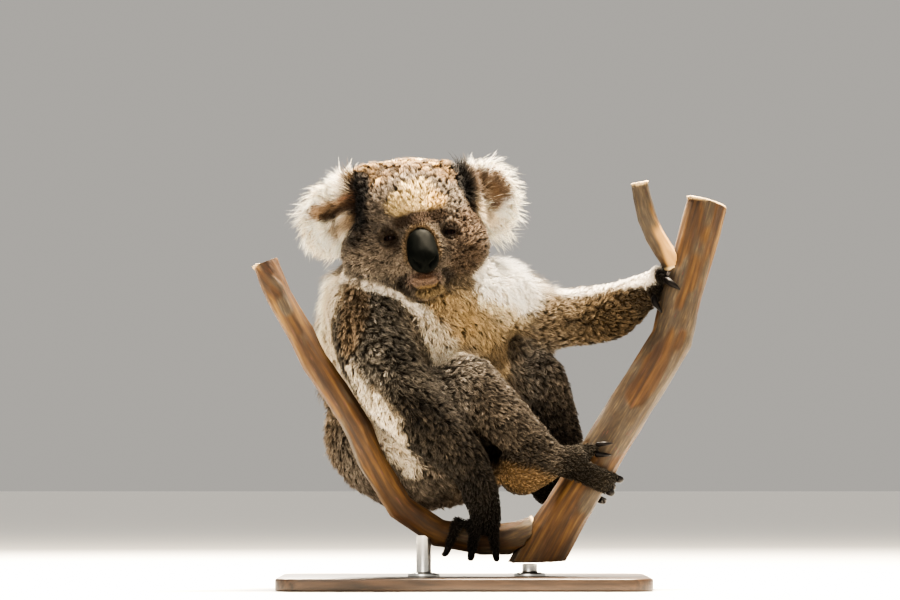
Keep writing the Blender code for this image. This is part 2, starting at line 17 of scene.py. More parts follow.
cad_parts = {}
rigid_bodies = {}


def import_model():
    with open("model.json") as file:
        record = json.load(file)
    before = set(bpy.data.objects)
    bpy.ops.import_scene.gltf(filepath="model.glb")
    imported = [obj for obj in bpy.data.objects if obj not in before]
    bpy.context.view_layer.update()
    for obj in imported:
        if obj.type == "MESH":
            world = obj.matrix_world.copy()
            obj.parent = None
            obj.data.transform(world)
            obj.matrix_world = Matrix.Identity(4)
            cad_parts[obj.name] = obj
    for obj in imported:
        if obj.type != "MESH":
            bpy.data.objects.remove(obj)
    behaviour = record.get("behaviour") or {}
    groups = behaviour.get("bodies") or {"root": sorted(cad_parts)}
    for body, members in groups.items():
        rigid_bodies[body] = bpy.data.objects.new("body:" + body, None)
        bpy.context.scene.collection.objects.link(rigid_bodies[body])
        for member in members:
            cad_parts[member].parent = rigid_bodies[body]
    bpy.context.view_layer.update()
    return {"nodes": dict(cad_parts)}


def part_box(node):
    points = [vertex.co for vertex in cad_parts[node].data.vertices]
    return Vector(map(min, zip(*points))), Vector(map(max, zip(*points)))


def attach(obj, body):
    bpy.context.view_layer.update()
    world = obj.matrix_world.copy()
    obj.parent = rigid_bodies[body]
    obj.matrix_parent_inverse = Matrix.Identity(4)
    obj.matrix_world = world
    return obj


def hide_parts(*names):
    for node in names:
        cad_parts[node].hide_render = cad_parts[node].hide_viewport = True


for old in list(bpy.data.objects):
    bpy.data.objects.remove(old, do_unlink=True)
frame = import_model()
nodes = frame["nodes"]

# Room -----------------------------------------------------------------------------------------------
# A studio table: a plain pale floor and soft light all round. One lamp high overhead lights the
# crown, a broad one behind lights the edges of the coat, and a weak one in front opens the shadows.


def linear(code):
    """Linear red, green and blue of an sRGB hex colour such as #8E7256."""
    parts = [int(code[i : i + 2], 16) / 255 for i in (1, 3, 5)]
    return tuple(c / 12.92 if c <= 0.04045 else ((c + 0.055) / 1.055) ** 2.4 for c in parts)


def add(tree, kind, values=None, links=None):
    """Adds a node. A value or a link goes to its socket by name or number, and other values are settings.

    A colour is an sRGB hex code, and "stops" are the places and the colours along a ramp.
    """
    made = tree.nodes.new(kind)
    for key, value in (values or {}).items():
        if key == "stops":
            elements = made.color_ramp.elements
            while len(elements) < len(value):
                elements.new(0.5)
            for element, (stop, code) in zip(elements, value):
                element.position = stop
                element.color = (*linear(code), 1.0)
            continue
        if isinstance(value, str) and value.startswith("#"):
            value = (*linear(value), 1.0)
        if isinstance(key, int) or key in made.inputs:
            made.inputs[key].default_value = value
        else:
            setattr(made, key, value)
    for key, source in (links or {}).items():
        tree.links.new(source, made.inputs[key])
    return made


def new_material(name, values):
    """A material of one Principled shader with these values, with its node tree and its shader."""
    made = bpy.data.materials.new(name)
    made.use_nodes = True
    shader = made.node_tree.nodes["Principled BSDF"]
    for key, value in values.items():
        shader.inputs[key].default_value = value
    return made, made.node_tree, shader


def mesh_of(name, bm):
    """A mesh of what has been modelled, which is then let go."""
    made = bpy.data.meshes.new(name)
    bm.to_mesh(made)
    bm.free()
    return made


def in_scene(name, data):
    made = bpy.data.objects.new(name, data)
    bpy.context.scene.collection.objects.link(made)
    return made


FLOOR_REACH = 40.0
EYE_LEVEL = (-0.0452, -0.020, 0.312)  # the point that the camera looks at, on the animal's chest
CAMERA_DISTANCE = 5.5
CAMERA_ELEVATION = math.radians(-2.0)
VIEW_WIDTH = 0.972  # what the camera sees at that distance
SENSOR = 36.0

bm = bmesh.new()
bmesh.ops.create_grid(bm, x_segments=8, y_segments=8, size=FLOOR_REACH)
floor = in_scene("floor", mesh_of("floor", bm))
paper, tree, shader = new_material("matt_paper", {"Roughness": 0.9})
# Heavy uncoated paper: an even warm white without any shine.
shader.inputs["Base Color"].default_value = (*linear("#E4E2DE"), 1.0)
floor.data.materials.append(paper)

bpy.context.scene.view_settings.look = "AgX - High Contrast"
world = bpy.data.worlds.new("studio")
bpy.context.scene.world = world
world.use_nodes = True
sky = world.node_tree.nodes["Background"]
sky.inputs[0].default_value = (*linear("#F3EFE8"), 1.0)
# The lit sheet is bright, and the one behind the animal is a calm grey that shows the edge of the coat.
seen = add(world.node_tree, "ShaderNodeLightPath").outputs["Is Camera Ray"]
calm = add(world.node_tree, "ShaderNodeMapRange", {"To Min": 0.68, "To Max": 0.42}, {"Value": seen})
world.node_tree.links.new(calm.outputs[0], sky.inputs[1])


def area_lamp(name, place, size, power, colour):
    lamp = bpy.data.lights.new(name, "AREA")
    lamp.shape = "DISK"
    lamp.size = size
    lamp.energy = power
    lamp.color = linear(colour)
    made = in_scene(name, lamp)
    made.location = place
    made.rotation_euler = (Vector(EYE_LEVEL) - Vector(place)).to_track_quat("-Z", "Y").to_euler()


area_lamp("sky_lamp", (0.35, 0.30, 2.2), 0.6, 400.0, "#FFEFD6")
area_lamp("rim_lamp", (-0.5, 1.9, 1.7), 1.0, 210.0, "#FFF3E2")
area_lamp("front_lamp", (-0.8, -2.3, 1.5), 1.6, 45.0, "#FFF6EA")

camera_data = bpy.data.cameras.new("camera")
camera_data.sensor_width = SENSOR
camera_data.lens = CAMERA_DISTANCE * SENSOR / VIEW_WIDTH
camera = in_scene("camera", camera_data)
towards = Vector((0.0, math.cos(CAMERA_ELEVATION), -math.sin(CAMERA_ELEVATION)))
camera.location = Vector(EYE_LEVEL) - towards * CAMERA_DISTANCE
camera.rotation_euler = towards.to_track_quat("-Z", "Y").to_euler()
bpy.context.scene.camera = camera

# Display stand --------------------------------------------------------------------------------------
# A slab of dark stained hardwood with eased edges, and two brushed steel rods up to the fork. Each rod
# has a turned flange that three countersunk screws hold down on the slab.


def show(mesh, finish):
    mesh.materials.clear()
    mesh.materials.append(finish)
    return in_scene(mesh.name, mesh)


def new_piece(name, bm, finish):
    """A piece of what has been modelled, smooth but for the edges that turn sharply."""
    mesh = mesh_of(name, bm)
    mesh.shade_smooth()
    mesh.set_sharp_from_angle(angle=math.radians(40))
    return show(mesh, finish)


def fit(piece, slot, *stood_for):
    """Fixes a finished piece on the model and hides the nodes that it stands for; its slot is not used."""
    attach(piece, "root")
    if stood_for:
        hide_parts(*stood_for)


stained_wood, tree, shader = new_material("stained_hardwood", {"Roughness": 0.42, "IOR": 1.5})
# Long fibres run with the slab: the eye reads streaks about 2 mm across and 60 mm long.
where = add(tree, "ShaderNodeTexCoord").outputs["Object"]
fibres = add(tree, "ShaderNodeMapping", {"Scale": (16.0, 480.0, 160.0)}, {"Vector": where}).outputs[0]
streaks = add(tree, "ShaderNodeTexNoise", {"Scale": 1.0, "Detail": 6.0}, {"Vector": fibres}).outputs["Fac"]
tone = add(tree, "ShaderNodeValToRGB", {"stops": ((0.32, "#241A13"), (0.70, "#4E3A2A"))}, {"Fac": streaks})
tree.links.new(tone.outputs[0], shader.inputs["Base Color"])
grain = add(tree, "ShaderNodeBump", {"Strength": 0.25, "Distance": 0.0004}, {"Height": streaks})
tree.links.new(grain.outputs[0], shader.inputs["Normal"])

low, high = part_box("stand_base")
BASE_CORNER = 0.030
EDGE_ROUND = 0.0025
bm = bmesh.new()
bmesh.ops.create_cube(bm, size=1.0)
bmesh.ops.transform(bm, verts=bm.verts, matrix=Matrix.LocRotScale((low + high) / 2, None, high - low))
upright = [e for e in bm.edges if abs(e.verts[0].co.z - e.verts[1].co.z) > 0.001]
bmesh.ops.bevel(bm, geom=upright, offset=BASE_CORNER, segments=14, affect="EDGES", profile=0.5)
rims = [e for e in bm.edges if abs(e.verts[0].co.z - e.verts[1].co.z) < 1e-6]
bmesh.ops.bevel(bm, geom=rims, offset=EDGE_ROUND, segments=4, affect="EDGES", profile=0.5)
base = new_piece("stand_slab", bm, stained_wood)
fit(base, "stand_wood", "stand_base")

steel, tree, shader = new_material("brushed_steel", {"Metallic": 1.0, "Roughness": 0.3})
# Brushed round the rod: fine rings that spread the highlight along it.
where = add(tree, "ShaderNodeTexCoord").outputs["Object"]
rings = add(tree, "ShaderNodeMapping", {"Scale": (40.0, 40.0, 2500.0)}, {"Vector": where}).outputs[0]
scratches = add(tree, "ShaderNodeTexNoise", {"Scale": 1.0, "Detail": 3.0}, {"Vector": rings}).outputs["Fac"]
shade = add(tree, "ShaderNodeMapRange", {"To Min": 0.24, "To Max": 0.40}, {"Value": scratches})
tree.links.new(shade.outputs[0], shader.inputs["Roughness"])
tone = add(tree, "ShaderNodeMix", {"data_type": "RGBA", 6: "#B4B3B0", 7: "#CFCECB"}, {0: scratches})
tree.links.new(tone.outputs[2], shader.inputs["Base Color"])

ROD_SHARE = 0.008 / 0.017  # the rod's radius as a share of its flange's
FLANGE_TOP = 0.0032
SCREWS = 3
SCREW_RING = 0.0125  # from the rod's middle to each screw
SCREW_HEAD = 0.0022
SCREW_CROWN = 0.28  # how high the head's dome is, as a share of its radius
SLOT_SIZE = Vector((1.6, 0.22, 0.2))  # the screw's slot, in head radii
for name in ("stand_rod_trunk", "stand_rod_limb"):
    low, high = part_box(name)
    middle = (low + high) / 2
    flange = (high.x - low.x) / 2
    rod = flange * ROD_SHARE
    profile = (
        (0.0, low.z), (flange, low.z), (flange, low.z + 0.0018), (flange - 0.001, low.z + 0.003),
        (rod + 0.002, low.z + FLANGE_TOP), (rod + 0.0006, low.z + 0.0040), (rod, low.z + 0.0055),
        (rod, high.z - 0.0005), (0.0, high.z),
    )
    bm = bmesh.new()
    points = [bm.verts.new((x, 0.0, z)) for x, z in profile]
    edges = [bm.edges.new(pair) for pair in zip(points, points[1:])]
    bmesh.ops.spin(bm, geom=points + edges, axis=(0, 0, 1), cent=(0, 0, 0), steps=40, angle=2 * math.pi)
    bmesh.ops.remove_doubles(bm, verts=bm.verts, dist=1e-5)
    bmesh.ops.recalc_face_normals(bm, faces=bm.faces)
    bmesh.ops.translate(bm, verts=bm.verts, vec=(middle.x, middle.y, 0.0))
    fit(new_piece(name + "_turned", bm, steel), "stand_steel", name)
    bm = bmesh.new()
    for k in range(SCREWS):
        angle = 2 * math.pi * (k + 0.25) / SCREWS
        out = Vector((math.cos(angle), math.sin(angle), 0.0)) * SCREW_RING
        place = Vector((middle.x, middle.y, low.z + FLANGE_TOP)) + out
        dome = Matrix.LocRotScale(place, None, Vector((1.0, 1.0, SCREW_CROWN)))
        bmesh.ops.create_uvsphere(bm, u_segments=16, v_segments=8, radius=SCREW_HEAD, matrix=dome)
        slot = Matrix.LocRotScale(place + Vector((0.0, 0.0, 0.0004)), Euler((0, 0, angle)), SLOT_SIZE)
        bmesh.ops.create_cube(bm, size=SCREW_HEAD, matrix=slot)
    fit(new_piece(name + "_screws", bm, steel), "stand_steel")

# Perch ----------------------------------------------------------------------------------------------
# Green lengths of a smooth-barked gum tree, sawn off square: a thick branch, a thin one that leaves it
# near the foot, and the stub of a twig. Old grey bark peels off in patches, and the new is orange and tan.


def random_lattice(i, j, k, seed):
    """A number from 0 to 1 for each whole point of space, the same every time."""
    h = i.astype(np.uint32) * np.uint32(374761393) + j.astype(np.uint32) * np.uint32(668265263)
    h = h + k.astype(np.uint32) * np.uint32(2246822519) + np.uint32(seed * 3266489917 % 2**32)
    h = (h ^ (h >> np.uint32(15))) * np.uint32(2654435761)
    h = (h ^ (h >> np.uint32(13))) * np.uint32(1274126177)
    return (h ^ (h >> np.uint32(16))).astype(np.float64) / 2**32


def noise(points, size, seed, octaves=2):
    """Soft random values from 0 to 1 at points in space, with lumps about so large."""
    total, weight = 0.0, 0.0
    for octave in range(octaves):
        p = points / (size * 0.5**octave) + 1000.0
        cell = np.floor(p).astype(np.int64)
        f = p - cell
        f = f * f * (3 - 2 * f)
        found = 0.0
        for corner in range(8):
            step = np.array([corner & 1, corner >> 1 & 1, corner >> 2])
            at = cell + step
            share = np.prod(np.where(step, f, 1 - f), axis=1)
            found = found + share * random_lattice(at[:, 0], at[:, 1], at[:, 2], seed + octave)
        total = total + found * 0.55**octave
        weight += 0.55**octave
    return total / weight


def smooth_step(values, start, end):
    t = np.clip((values - start) / (end - start), 0.0, 1.0)
    return t * t * (3 - 2 * t)


def read_points(mesh, kind="co"):
    """The places or the normals of a mesh's points, as an array."""
    found = np.zeros(len(mesh.vertices) * 3, np.float32)
    source = mesh.vertices if kind == "co" else mesh.vertex_normals
    source.foreach_get("co" if kind == "co" else "vector", found)
    return found.reshape(-1, 3).astype(np.float64)


def write_points(mesh, places):
    mesh.vertices.foreach_set("co", places.astype(np.float32).ravel())
    mesh.update()


def write_field(mesh, name, values):
    """Stores one number, or one vector or colour, for each point of a mesh."""
    kinds = {1: ("FLOAT", "value"), 3: ("FLOAT_VECTOR", "vector"), 4: ("FLOAT_COLOR", "color")}
    kind, key = kinds[1 if values.ndim == 1 else values.shape[1]]
    layer = mesh.attributes.new(name, kind, "POINT")
    layer.data.foreach_set(key, values.astype(np.float32).ravel())


def remeshed(name, sources, voxel, rounds, swell=0.0):
    """One closed body of small even faces round some meshes, each swollen a little so that they join."""
    bm = bmesh.new()
    for source in sources:
        start = len(bm.verts)
        bm.from_mesh(source)
        bm.verts.ensure_lookup_table()
        for vert, normal in zip(bm.verts[start:], read_points(source, "normal")):
            vert.co += Vector(normal) * swell
    rough = in_scene(name, mesh_of(name, bm))
    remesh = rough.modifiers.new("remesh", "REMESH")
    remesh.mode = "VOXEL"
    remesh.voxel_size = voxel
    if rounds:
        smooth = rough.modifiers.new("smooth", "SMOOTH")
        smooth.factor = 0.5
        smooth.iterations = rounds
    made = bpy.data.meshes.new_from_object(rough.evaluated_get(bpy.context.evaluated_depsgraph_get()))
    bpy.data.objects.remove(rough, do_unlink=True)
    made.name = name
    made.shade_smooth()
    return made


def middle_line(mesh, axis, parts):
    """Points down the middle of a branch that runs along one axis, from its slices."""
    places = read_points(mesh)
    order = places[:, axis].argsort()
    return np.array([group.mean(axis=0) for group in np.array_split(places[order], parts)])


def places_on_branch(points, line):
    """How far along its line each point is, and its place in the branch's cross section."""
    lengths = np.linalg.norm(np.diff(line, axis=0), axis=1)
    starts = np.concatenate(([0.0], np.cumsum(lengths)))
    nearest = np.full(len(points), 1e9)
    along = np.zeros(len(points))
    cross = np.zeros((len(points), 2))
    side = np.array([0.0, -1.0, 0.0])
    for i, length in enumerate(lengths):
        direction = (line[i + 1] - line[i]) / length
        side = side - direction * (side @ direction)
        side = side / np.linalg.norm(side)
        beside = np.cross(direction, side)
        offset = points - line[i]
        first, last = i == 0, i == len(lengths) - 1
        t = np.clip(offset @ direction, -1.0 if first else 0.0, 1.0 if last else length)
        away = offset - t[:, None] * direction
        distance = np.linalg.norm(away, axis=1)
        closer = distance < nearest
        nearest = np.where(closer, distance, nearest)
        along = np.where(closer, starts[i] + t, along)
        cross = np.where(closer[:, None], np.stack([away @ side, away @ beside], axis=1), cross)
    return along, cross


gum_bark, tree, shader = new_material("smooth_gum_bark", {"IOR": 1.5})
# Matt and dry: new bark runs from orange to tan in long soft streaks, the old is grey, and the bare wood
# under a torn twig is yellow. The sawn ends show pale wood with rings about 2 mm apart.
RING_WIDTH = 0.002
NEW_BARK = ((0.30, "#2A1B0C"), (0.46, "#3F2A11"), (0.60, "#543B19"), (0.76, "#6E562D"))
OLD_BARK = ((0.30, "#2A241C"), (0.55, "#443A2D"), (0.75, "#5E523F"))
WARMTH = ((0.35, "#CDB183"), (0.60, "#FFFFFF"))  # a tint that comes and goes in broad blotches
place = add(tree, "ShaderNodeAttribute", {"attribute_name": "branch_place"}).outputs["Vector"]
peeled = add(tree, "ShaderNodeAttribute", {"attribute_name": "old_bark"}).outputs["Fac"]
torn = add(tree, "ShaderNodeAttribute", {"attribute_name": "bare_wood"}).outputs["Fac"]
sawn = add(tree, "ShaderNodeAttribute", {"attribute_name": "sawn_end"}).outputs["Fac"]
long_way = add(tree, "ShaderNodeMapping", {"Scale": (150.0, 150.0, 14.0)}, {"Vector": place})
streaks = add(tree, "ShaderNodeTexNoise", {"Scale": 1.0, "Detail": 5.0}, {"Vector": long_way.outputs[0]})
fine_way = add(tree, "ShaderNodeMapping", {"Scale": (420.0, 420.0, 60.0)}, {"Vector": place}).outputs[0]
fine = add(tree, "ShaderNodeTexNoise", {"Scale": 1.0, "Detail": 4.0}, {"Vector": fine_way}).outputs["Fac"]
blotches = add(tree, "ShaderNodeTexNoise", {"Scale": 26.0, "Detail": 4.0}, {"Vector": place}).outputs["Fac"]
new_bark = add(tree, "ShaderNodeValToRGB", {"stops": NEW_BARK}, {"Fac": streaks.outputs["Fac"]}).outputs[0]
old_bark = add(tree, "ShaderNodeValToRGB", {"stops": OLD_BARK}, {"Fac": fine}).outputs[0]
bark = add(tree, "ShaderNodeMix", {"data_type": "RGBA"}, {0: peeled, 6: new_bark, 7: old_bark}).outputs[2]
warmth = add(tree, "ShaderNodeValToRGB", {"stops": WARMTH}, {"Fac": blotches}).outputs[0]
warmed = {"data_type": "RGBA", "blend_type": "MULTIPLY", 0: 0.75}
bark = add(tree, "ShaderNodeMix", warmed, {6: bark, 7: warmth}).outputs[2]
specks = add(tree, "ShaderNodeMapRange", {"From Min": 0.36, "From Max": 0.28}, {"Value": fine}).outputs[0]
bark = add(tree, "ShaderNodeMix", {"data_type": "RGBA", 7: "#4A2A1C"}, {0: specks, 6: bark}).outputs[2]
bark = add(tree, "ShaderNodeMix", {"data_type": "RGBA", 7: "#A37F4E"}, {0: torn, 6: bark}).outputs[2]
flat = add(tree, "ShaderNodeVectorMath", {"operation": "MULTIPLY", 1: (1.0, 1.0, 0.0)}, {0: place})
radius = add(tree, "ShaderNodeVectorMath", {"operation": "LENGTH"}, {0: flat.outputs[0]}).outputs["Value"]
uneven = add(tree, "ShaderNodeMath", {"operation": "MULTIPLY_ADD", 1: 0.004}, {0: blotches, 2: radius})
turn_rate = 2 * math.pi / RING_WIDTH
turns = add(tree, "ShaderNodeMath", {"operation": "MULTIPLY", 1: turn_rate}, {0: uneven.outputs[0]})
wave = add(tree, "ShaderNodeMath", {"operation": "SINE"}, {0: turns.outputs[0]}).outputs[0]
growth = add(tree, "ShaderNodeMapRange", {"From Min": -1.0}, {"Value": wave}).outputs[0]
wood = add(tree, "ShaderNodeValToRGB", {"stops": ((0.0, "#C8A878"), (1.0, "#E2CCA2"))}, {"Fac": growth})
tone = add(tree, "ShaderNodeMix", {"data_type": "RGBA"}, {0: sawn, 6: bark, 7: wood.outputs[0]})
tree.links.new(tone.outputs[2], shader.inputs["Base Color"])
dry = add(tree, "ShaderNodeMapRange", {"To Min": 0.62, "To Max": 0.85}, {"Value": fine})
tree.links.new(dry.outputs[0], shader.inputs["Roughness"])
relief = add(tree, "ShaderNodeBump", {"Strength": 0.5, "Distance": 0.0008}, {"Height": fine})
tree.links.new(relief.outputs[0], shader.inputs["Normal"])

BARK_EDGE = 0.0009  # how far an old patch stands over the new bark
BARK_LUMPS = 0.0014
BARK_GROOVES = 0.0006
SAWN_DEPTH = 0.005  # how far the look of sawn wood reaches in from an end
TORN_LENGTH = 0.045  # how much of the twig's foot has lost its bark
for name, lengths, axis, parts, voxel, seed in (
    ("perch_trunk", ("perch_trunk",), 2, 9, 0.0018, 11),
    ("perch_limb", ("perch_limb_low", "perch_limb_high"), 0, 16, 0.0015, 23),
    ("perch_twig", ("perch_twig",), 2, 5, 0.0013, 47),
):
    mesh = remeshed(name + "_bark", [nodes[length].data for length in lengths], voxel, 8, swell=0.0003)
    points = read_points(mesh)
    normals = read_points(mesh, "normal")
    line = middle_line(mesh, axis, parts)
    along, cross = places_on_branch(points, line)
    out = np.linalg.norm(cross, axis=1)
    place = np.column_stack([cross, along])
    thick = np.median(out)
    top, bottom = along.max(), along.min()
    inner = smooth_step(out, thick * 0.97, thick * 0.88)
    near_end = np.minimum(along - bottom, top - along)
    sawn = inner * smooth_step(near_end, SAWN_DEPTH, 0.4 * SAWN_DEPTH)
    sawn = np.where(np.abs(normals[:, 2]) > 0.5, sawn, sawn * 0.6)
    patches = noise(place / np.array([1.0, 1.0, 2.6]), 0.030, seed, 3)
    old = smooth_step(patches, 0.52, 0.59)
    grooves = noise(place / np.array([1.0, 1.0, 12.0]), 0.0035, seed + 5, 2)
    lumps = noise(place, 0.028, seed + 9, 2)
    lift = (old - 1.0) * BARK_EDGE + (lumps - 1.0) * BARK_LUMPS + (grooves - 1.0) * BARK_GROOVES
    write_points(mesh, points + normals * (lift * (1.0 - sawn))[:, None])
    bare = np.zeros(len(points))
    if name == "perch_twig":
        bare = smooth_step(along + 0.012 * (patches - 0.5), TORN_LENGTH, TORN_LENGTH - 0.015)
        bare = bare * smooth_step(cross[:, 1], -0.004, 0.002)
    write_field(mesh, "branch_place", place + seed)
    write_field(mesh, "old_bark", old)
    write_field(mesh, "bare_wood", bare)
    write_field(mesh, "sawn_end", sawn)
    fit(show(mesh, gum_bark), "gum_bark", *lengths)

# Claws ----------------------------------------------------------------------------------------------
# Long hooked claws of black horn that grow out of the tip of each finger, and of four toes of each foot.
# The big toe has none. The claws of one hand or foot are one piece, rounded from their solids.

claw_horn, tree, shader = new_material("black_horn", {"IOR": 1.55, "Specular IOR Level": 0.12})
# Polished by use: near black with a brown cast, and fine streaks along the claw that catch the light.
where = add(tree, "ShaderNodeTexCoord").outputs["Object"]
streaks = add(tree, "ShaderNodeTexNoise", {"Scale": 420.0, "Detail": 3.0}, {"Vector": where}).outputs["Fac"]
tone = add(tree, "ShaderNodeValToRGB", {"stops": ((0.35, "#080708"), (0.7, "#1A1615"))}, {"Fac": streaks})
tree.links.new(tone.outputs[0], shader.inputs["Base Color"])
gloss = add(tree, "ShaderNodeMapRange", {"To Min": 0.42, "To Max": 0.58}, {"Value": streaks})
tree.links.new(gloss.outputs[0], shader.inputs["Roughness"])

for paw in ("hand_right", "hand_left", "foot_right", "foot_left"):
    names = sorted(n for n in nodes if n.startswith("claw_" + paw))
    bm = bmesh.new()
    for name in names:
        bm.from_mesh(nodes[name].data)
    bmesh.ops.remove_doubles(bm, verts=bm.verts, dist=1e-5)
    claws = new_piece("claws_" + paw, bm, claw_horn)
    rounding = claws.modifiers.new("rounding", "SUBSURF")
    rounding.levels = rounding.render_levels = 2
    claws.data.shade_smooth()
    fit(claws, "claw_horn", *names)

# Skin -----------------------------------------------------------------------------------------------
# One unbroken hide over head, trunk and limbs, set inside the outline by the depth of the coat on it.
# It carries the coat's markings in darker tones, a painted shade down among the roots of the coat.

FLESH = (
    "head", "neck", "chest", "rump", "upper_arm_right", "forearm_right", "hand_right", "upper_arm_left",
    "forearm_left", "hand_left", "thigh_right", "shank_right", "foot_right", "thigh_left", "shank_left",
    "foot_left", "ear_right", "ear_left",
)
BODY = FLESH[:-2]
# How thick the coat is on each part, in metres; the head's is worked out below.
COAT_DEPTH = {
    "head": 0.0065, "neck": 0.0095, "chest": 0.0115, "rump": 0.0125, "upper_arm": 0.0090, "forearm": 0.0072,
    "hand": 0.0016, "thigh": 0.0085, "shank": 0.0068, "foot": 0.0018, "ear": 0.0065,
}


def kind_of(node):
    return node.removesuffix("_right").removesuffix("_left")


HEAD_TURN = Euler([math.radians(a) for a in (-8.0, -6.0, 7.0)])  # how far it is lifted, tipped and turned
EYE_PLACE = Vector((0.0315, -0.0535, -0.023))  # the left eye, from the middle of the head
EYE_RADIUS = 0.0075
eye_middles = {side: sum(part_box("eye_" + side), Vector()) / 2 for side in ("right", "left")}
between_eyes = (eye_middles["right"] + eye_middles["left"]) / 2
head_middle = between_eyes - HEAD_TURN.to_matrix() @ Vector((0.0, EYE_PLACE.y, EYE_PLACE.z))
head_place = Matrix.LocRotScale(head_middle, HEAD_TURN, None)
head_matrix = np.array(head_place)
head_inverse = np.array(head_place.inverted())


def in_head(points):
    """Points as seen from the middle of the head: X to its left, Y to the back, Z up."""
    return points @ head_inverse[:3, :3].T + head_inverse[:3, 3]


def from_head(points):
    return points @ head_matrix[:3, :3].T + head_matrix[:3, 3]


def unit(vectors):
    return vectors / np.maximum(np.linalg.norm(vectors, axis=-1, keepdims=True), 1e-9)


def surface_of(mesh):
    """A mesh's faces, sorted so that the nearest one or the first one along a line is quickly found."""
    return BVHTree.FromPolygons([v.co for v in mesh.vertices], [p.vertices for p in mesh.polygons])


def part_weights(points, parts, reach=0.006):
    """How much of each point belongs to each part, going over softly from one to the next."""
    away = np.zeros((len(points), len(parts)))
    places = [Vector(p) for p in points]
    for column, part in enumerate(parts):
        surface = surface_of(nodes[part].data)
        away[:, column] = [surface.find_nearest(p)[3] for p in places]
    share = np.exp(-(away - away.min(axis=1, keepdims=True)) / reach)
    return share / share.sum(axis=1, keepdims=True)


def edges_of(mesh):
    found = np.zeros(len(mesh.edges) * 2, np.int32)
    mesh.edges.foreach_get("vertices", found)
    return found.reshape(-1, 2)


def averaged(values, edges, rounds, share=0.5):
    """Values at a mesh's points, each drawn towards the mean of its neighbours a number of times."""
    flat = values.reshape(len(values), -1)
    count = np.maximum(np.bincount(edges.ravel(), minlength=len(values)), 1)
    for _ in range(rounds):
        total = np.empty_like(flat)
        for column in range(flat.shape[1]):
            total[:, column] = np.bincount(edges[:, 0], flat[edges[:, 1], column], len(values))
            total[:, column] += np.bincount(edges[:, 1], flat[edges[:, 0], column], len(values))
        flat = flat + share * (total / count[:, None] - flat)
    return flat.reshape(values.shape)


FACE_MIDDLE = np.array([0.0, -0.075, -0.035])
EYES = np.array([[-EYE_PLACE.x, EYE_PLACE.y, EYE_PLACE.z], list(EYE_PLACE)])
FACE_THINNER = 0.72  # the share of the coat's depth that is missing in the middle of the face
LIDS_THINNER = 0.6


def coat_depth(points, parts, weights):
    """The thickness of the coat at points: thin on the face, and thinnest round the eyes and the nose."""
    depth = weights @ np.array([COAT_DEPTH[kind_of(part)] for part in parts])
    local = in_head(points)
    from_face = np.linalg.norm(local - FACE_MIDDLE, axis=1)
    on_face = smooth_step(from_face, 0.068, 0.022)
    depth = depth * (1 - FACE_THINNER * on_face)
    for eye in EYES:
        from_eye = np.linalg.norm(local - eye, axis=1)
        depth = depth * (1 - LIDS_THINNER * smooth_step(from_eye, 0.020, 0.011))
    return depth


def largest_shell(mesh):
    """Deletes all but the biggest of a mesh's separate shells."""
    edges = edges_of(mesh)
    label = np.arange(len(mesh.vertices))
    while True:
        low = np.minimum(label[edges[:, 0]], label[edges[:, 1]])
        fresh = label.copy()
        np.minimum.at(fresh, edges[:, 0], low)
        np.minimum.at(fresh, edges[:, 1], low)
        fresh = fresh[fresh]
        if (fresh == label).all():
            break
        label = fresh
    biggest = np.bincount(label).argmax()
    bm = bmesh.new()
    bm.from_mesh(mesh)
    bm.verts.ensure_lookup_table()
    bmesh.ops.delete(bm, geom=[bm.verts[int(i)] for i in np.flatnonzero(label != biggest)], context="VERTS")
    bm.to_mesh(mesh)
    bm.free()


SHRINK_STEPS = 6
FULL_EASE = 0.010  # the depth of coat from which the hide is smoothed in full as it is drawn in
outline = remeshed("outline", [nodes[part].data for part in BODY], 0.003, 2, swell=0.0009)
largest_shell(outline)
outline_edges = edges_of(outline)
outline_points = read_points(outline)
outline_weights = part_weights(outline_points, BODY)
depth = averaged(coat_depth(outline_points, BODY, outline_weights), outline_edges, 4)
points = outline_points.copy()
ease = np.clip(depth / FULL_EASE, 0.0, 1.0)[:, None]
for _ in range(SHRINK_STEPS):
    points = points - read_points(outline, "normal") * (depth / SHRINK_STEPS)[:, None]
    points = points + ease * (averaged(points, outline_edges, 2) - points)
    write_points(outline, points)

# Each ear's gristle is a cupped leaf that stands out from the side of the head: its middle, half its width
# and height, and how far it leans over. The right one (-1) hangs a little.
EARS = {-1: ((-0.082, 0.018, 0.018), (0.031, 0.040), 25.0), 1: ((0.079, 0.018, 0.022), (0.036, 0.037), 0.0)}
EAR_THICK = 0.0045
EAR_CUP = 0.010  # how far its rim bends forwards
EAR_LIFT = 4.0  # how far it is tipped back, in degrees
EAR_SPREAD = 14.0  # how far it is turned to the side
leaves = []
ear_frames = {}
for side, (place, (half_wide, half_tall), lean) in EARS.items():
    bm = bmesh.new()
    bmesh.ops.create_uvsphere(bm, u_segments=40, v_segments=24, radius=1.0)
    for vert in bm.verts:
        across = vert.co.x**2 + vert.co.z**2
        thick = math.copysign(abs(vert.co.y) ** 0.45, vert.co.y) * EAR_THICK
        vert.co = Vector((vert.co.x * half_wide, thick - EAR_CUP * across, vert.co.z * half_tall))
    turn = Euler([math.radians(a) for a in (EAR_LIFT, lean, -EAR_SPREAD * side)])
    ear_frames[side] = head_place @ Matrix.LocRotScale(Vector(place), turn, None)
    bm.transform(ear_frames[side])
    bmesh.ops.recalc_face_normals(bm, faces=bm.faces)
    leaves.append(mesh_of("leaf", bm))
# The upper lip and the chin, as eggs below the nose: their middles and half widths, seen from the head's.
LIPS = (
    ((0.0, -0.046, -0.066), (0.0230, 0.0170, 0.0125)),
    ((0.0, -0.038, -0.0730), (0.0190, 0.0160, 0.0110)),
)
